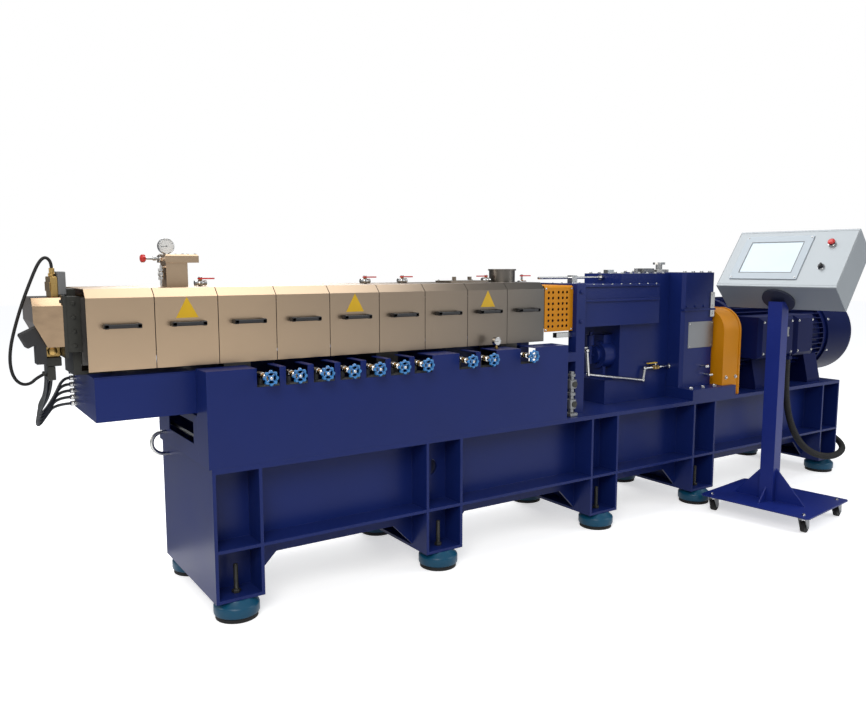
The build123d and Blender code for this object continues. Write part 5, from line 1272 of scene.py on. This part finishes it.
# The door's seam: half its width, where it starts and ends, and its own width and height
SEAM_A, SEAM_START, SEAM_END, SEAM_WIDE, SEAM_HIGH = 337, 14, 410, 1.2, 0.4
SEAM_CROSSES = (SEAM_START, SEAM_END - 1)


class EXTRUDER_OT_stand(bpy.types.Operator):
    """Display pane, button, selector and seams of the control box"""
    bl_idname = "extruder.stand"
    bl_label = "Control box"

    def execute(self, context):
        panel = {"axes": panel_axes(), "origin": panel_at(0, 0, 0)}
        out = panel["axes"][2]
        pane = Shape()
        pane.box((DISPLAY_A - PANE_A, DISPLAY_B - PANE_B, PANE_LOW),
                 (DISPLAY_A + PANE_A, DISPLAY_B + PANE_B, PANE_HIGH), **panel)
        pane.piece("display_pane", "screen_glass")
        self.rim(panel)
        rings = Shape()
        rings.lathe(panel_at(STOP_A, STOP_B, 0), out, STOP_RING, RING_SIDES)
        rings.lathe(panel_at(SELECTOR_A, SELECTOR_B, 0), out, SELECTOR_RING, RING_SIDES)
        rings.piece("button_rings", "bright_steel")
        head = Shape()
        head.lathe(panel_at(STOP_A, STOP_B, STOP_LIFT), out, STOP_HEAD, KNOB_SIDES)
        head.piece("stop_button_head", "red_plastic", body="stop_button", replaces=("stop_button",))
        seam = Shape()
        for a in (-SEAM_A, SEAM_A - SEAM_WIDE):
            seam.box((a, SEAM_START, 0), (a + SEAM_WIDE, SEAM_END, SEAM_HIGH), **panel)
        for b in SEAM_CROSSES:
            seam.box((-SEAM_A, b, 0), (SEAM_A, b + SEAM_WIDE, SEAM_HIGH), **panel)
        seam.piece("box_door_seam", "dull_grey", slot="grey_paint")
        spots = [(panel_at(DISPLAY_A + a, DISPLAY_B + b, BEZEL_TOP), out)
                 for a in (-BEZEL_A, BEZEL_A) for b in (-BEZEL_B, BEZEL_B)]
        bolts("bezel_screws", spots, 4)
        return {"FINISHED"}

    def rim(self, panel):
        """Four strips round the display."""
        left, right = DISPLAY_A - RIM_A, DISPLAY_A + RIM_A
        low, high = DISPLAY_B - RIM_B, DISPLAY_B + RIM_B
        inner_low, inner_high = low + RIM_WIDE, high - RIM_WIDE
        rim = Shape()
        for a, b, c, d in ((left, low, right, inner_low), (left, inner_high, right, high),
                           (left, inner_low, left + RIM_WIDE, inner_high),
                           (right - RIM_WIDE, inner_low, right, inner_high)):
            rim.box((a, b, RIM_LOW), (c, d, RIM_HIGH), **panel)
        rim.piece("display_rim", "dull_grey", slot="black_plastic")


# Bare plates: low corner, high corner, and how far the rivets stand from the edges
PLATES = (((3388, -261.5, 952), (3622, -260, 1112), 12), ((4080, -421.5, 1000), (4180, -420, 1060), 6))
PLATE_EDGE = 0.6


class EXTRUDER_OT_plates(bpy.types.Operator):
    """Bare metal plates where the machine carries its plates"""
    bl_idname = "extruder.plates"
    bl_label = "Plates"

    def execute(self, context):
        plate, rivets = Shape(), []
        for low, high, inset in PLATES:
            plate.box(low, high, PLATE_EDGE)
            xs, zs = [(low[axis] + inset, high[axis] - inset) for axis in (0, 2)]
            rivets += facing(xs, [low[1]], zs, -Y)
        plate.piece("bare_plates", "zinc_plate", slot="grey_paint")
        bolts("plate_rivets", rivets, 4)
        return {"FINISHED"}


SIGN_SPOTS = (1.5, 4.5, 7.5)
SIGN_HALF, SIGN_LOW, SIGN_HIGH = 45, 1246, 1328
SIGN_THICK = 0.8


class EXTRUDER_OT_signs(bpy.types.Operator):
    """Plain yellow triangles on the covers"""
    bl_idname = "extruder.signs"
    bl_label = "Signs"

    def execute(self, context):
        shape = Shape()
        for spot in SIGN_SPOTS:
            x = spot * SECTION
            outline = [at(x - SIGN_HALF, -COVER_HALF, SIGN_LOW), at(x + SIGN_HALF, -COVER_HALF, SIGN_LOW),
                       at(x, -COVER_HALF, SIGN_HIGH)]
            shape.loft([outline, [point - Y * SIGN_THICK / 1000 for point in outline]])
        shape.piece("yellow_triangles", "sign_yellow", slot="yellow_plastic")
        return {"FINISHED"}


FLOOR_HALF = 30.0
FLOOR_SEEN = (0.90, 0.90, 0.90, 1)
FLOOR_BOUNCE = (0.34, 0.35, 0.37, 1)
FLOOR_GLOW = 0.55
FLOOR_MIRRORED = 0.8        # how much of the pale floor the bright metal sees
FLOOR_MIRRORED_TO = 600     # only in front of this place across the machine
WHITE = (1, 1, 1, 1)
ROOM_COLOUR = (0.93, 0.96, 1.0, 1)
ROOM_DIM_BELOW = 0.3        # the room behind the machine is darker in reflections up to this height
ROOM_DIM = 0.7
# Name, place, aim, width in metres, power and colour
LAMPS = (
    ("Key", (-1800, -4200, 4200), (1600, 0, 900), 3.2, 175, (1.0, 0.97, 0.93)),
    ("Fill", (6500, -4200, 3000), (3600, 0, 800), 3.0, 80, (0.95, 0.97, 1.0)),
    ("Top", (2200, 900, 5200), (2200, 0, 1000), 4.5, 130, (1, 1, 1)),
    ("Back", (2600, 4600, 3600), (2400, 0, 800), 3.6, 110, (1.0, 0.99, 0.97)),
    ("End", (-3200, 1200, 2200), (0, 0, 900), 2.2, 30, (1.0, 0.96, 0.9)),
)


class EXTRUDER_OT_stage(bpy.types.Operator):
    """Pale floor, world and lamps"""
    bl_idname = "extruder.stage"
    bl_label = "Stage"

    def execute(self, context):
        self.floor(context)
        self.room(context)
        for lamp in LAMPS:
            self.lamp(context, *lamp)
        context.scene.view_settings.view_transform = "Standard"
        return {"FINISHED"}

    def floor(self, context):
        """A pale floor for the camera, and for bright metal in front; a darker one for other rays."""
        mesh = bpy.data.meshes.new("floor")
        s = FLOOR_HALF
        mesh.from_pydata([(-s, -s, 0), (s, -s, 0), (s, s, 0), (-s, s, 0)], [], [(0, 1, 2, 3)])
        floor = bpy.data.objects.new("floor", mesh)
        context.scene.collection.objects.link(floor)
        material = bpy.data.materials.new("Pale floor")
        build = empty_tree(material)
        pale = build.add("ShaderNodeBsdfDiffuse", {"Color": FLOOR_SEEN})
        glow = build.add("ShaderNodeEmission", {"Color": WHITE, "Strength": FLOOR_GLOW})
        both = build.add("ShaderNodeAddShader", {0: pale.outputs[0], 1: glow.outputs[0]})
        bounce = build.add("ShaderNodeBsdfDiffuse", {"Color": FLOOR_BOUNCE})
        path = build.add("ShaderNodeLightPath").outputs
        position = build.add("ShaderNodeNewGeometry").outputs["Position"]
        across = build.add("ShaderNodeSeparateXYZ", {0: position}).outputs["Y"]
        in_front = build.maths("LESS_THAN", across, at(0, FLOOR_MIRRORED_TO, 0).y)
        mirrored = build.product(build.product(path["Is Glossy Ray"], FLOOR_MIRRORED), in_front)
        seen = build.maths("MAXIMUM", path["Is Camera Ray"], mirrored)
        build.add("ShaderNodeOutputMaterial", {0: build.choice(seen, bounce, both).outputs[0]})
        mesh.materials.append(material)

    def room(self, context):
        """White behind the machine for the camera, and an even soft light for everything else."""
        world = bpy.data.worlds.new("Studio")
        context.scene.world = world
        build = empty_tree(world)
        path = build.add("ShaderNodeLightPath").outputs
        seen = build.maths("MAXIMUM", path["Is Camera Ray"], path["Is Transmission Ray"])
        generated = build.add("ShaderNodeTexCoord").outputs["Generated"]
        way = build.add("ShaderNodeSeparateXYZ", {0: generated}).outputs
        behind = build.product(build.maths("GREATER_THAN", way["Y"], 0.0),
                               build.maths("LESS_THAN", way["Z"], ROOM_DIM_BELOW))
        dim = build.product(build.product(path["Is Glossy Ray"], behind), ROOM_DIM)
        strength = build.product(build.maths("SUBTRACT", 1.0, dim), sizes().world_light)
        soft = build.add("ShaderNodeBackground", {"Color": ROOM_COLOUR, "Strength": strength})
        plain = build.add("ShaderNodeBackground", {"Color": WHITE, "Strength": 1.0})
        build.add("ShaderNodeOutputWorld", {0: build.choice(seen, soft, plain).outputs[0]})

    def lamp(self, context, name, spot, aim, width, power, colour):
        """A round lamp turned toward its aim."""
        data = bpy.data.lights.new(name, "AREA")
        data.shape = "DISK"
        data.size = width
        data.energy = power
        data.color = colour
        lamp = bpy.data.objects.new(name, data)
        lamp.location = at(*spot)
        lamp.rotation_euler = (at(*aim) - at(*spot)).to_track_quat("-Z", "Y").to_euler()
        context.scene.collection.objects.link(lamp)


STEPS = [EXTRUDER_OT_camera, EXTRUDER_OT_cords, EXTRUDER_OT_finishes, EXTRUDER_OT_handles,
         EXTRUDER_OT_handwheels, EXTRUDER_OT_feet, EXTRUDER_OT_fittings, EXTRUDER_OT_cooling,
         EXTRUDER_OT_die, EXTRUDER_OT_oil, EXTRUDER_OT_stand, EXTRUDER_OT_plates, EXTRUDER_OT_bolts,
         EXTRUDER_OT_signs, EXTRUDER_OT_stage]


# Settings, panel and registration

def colour_setting(name, description, default):
    return bpy.props.FloatVectorProperty(name=name, description=description, subtype="COLOR", size=3,
                                         default=default, min=0, max=1)


class ExtruderColours(bpy.types.PropertyGroup):
    enamel: colour_setting("Machine enamel", "Colour of the base and the gears", (0.0085, 0.0220, 0.150))
    # The stainless tint is a painted warm reflection, not the steel's own colour
    stainless: colour_setting("Stainless", "Tint of the barrel covers", (0.55, 0.40, 0.265))
    guard: colour_setting("Guards", "Colour of the two orange guards", (0.68, 0.255, 0.0025))
    foot: colour_setting("Feet", "Colour of the levelling feet", (0.001, 0.082, 0.165))
    wheel: colour_setting("Handwheels", "Colour of the valves' handwheels", (0.035, 0.280, 0.700))


class ExtruderSizes(bpy.types.PropertyGroup):
    lens: bpy.props.FloatProperty(
        name="Lens", description="Focal length of the camera", subtype="DISTANCE_CAMERA", default=32.89,
        min=10, max=100)
    hose_pitch: bpy.props.FloatProperty(
        name="Hose pitch", description="Distance between two ribs of the conduit", subtype="DISTANCE",
        unit="LENGTH", default=0.012, min=0.006, max=0.03)
    world_light: bpy.props.FloatProperty(
        name="Room light", description="Strength of the light from all round", default=0.50, min=0, max=2)


class EXTRUDER_PT_panel(bpy.types.Panel):
    bl_idname = "EXTRUDER_PT_panel"
    bl_label = "Twin-screw extruder"
    bl_space_type = "VIEW_3D"
    bl_region_type = "UI"
    bl_category = "Extruder"

    def draw(self, context):
        layout = self.layout
        for group in (context.scene.extruder_colours, context.scene.extruder_sizes):
            for name in group.__annotations__:
                layout.prop(group, name)
        for step in STEPS:
            layout.operator(step.bl_idname)


CLASSES = [ExtruderColours, ExtruderSizes, EXTRUDER_PT_panel] + STEPS


def register():
    for kind in CLASSES:
        bpy.utils.register_class(kind)
    bpy.types.Scene.extruder_colours = bpy.props.PointerProperty(type=ExtruderColours)
    bpy.types.Scene.extruder_sizes = bpy.props.PointerProperty(type=ExtruderSizes)


def unregister():
    del bpy.types.Scene.extruder_sizes
    del bpy.types.Scene.extruder_colours
    for kind in reversed(CLASSES):
        bpy.utils.unregister_class(kind)


def main():
    register()
    for step in STEPS:
        family, call = step.bl_idname.split(".")
        getattr(getattr(bpy.ops, family), call)()


if __name__ == "__main__":
    main()
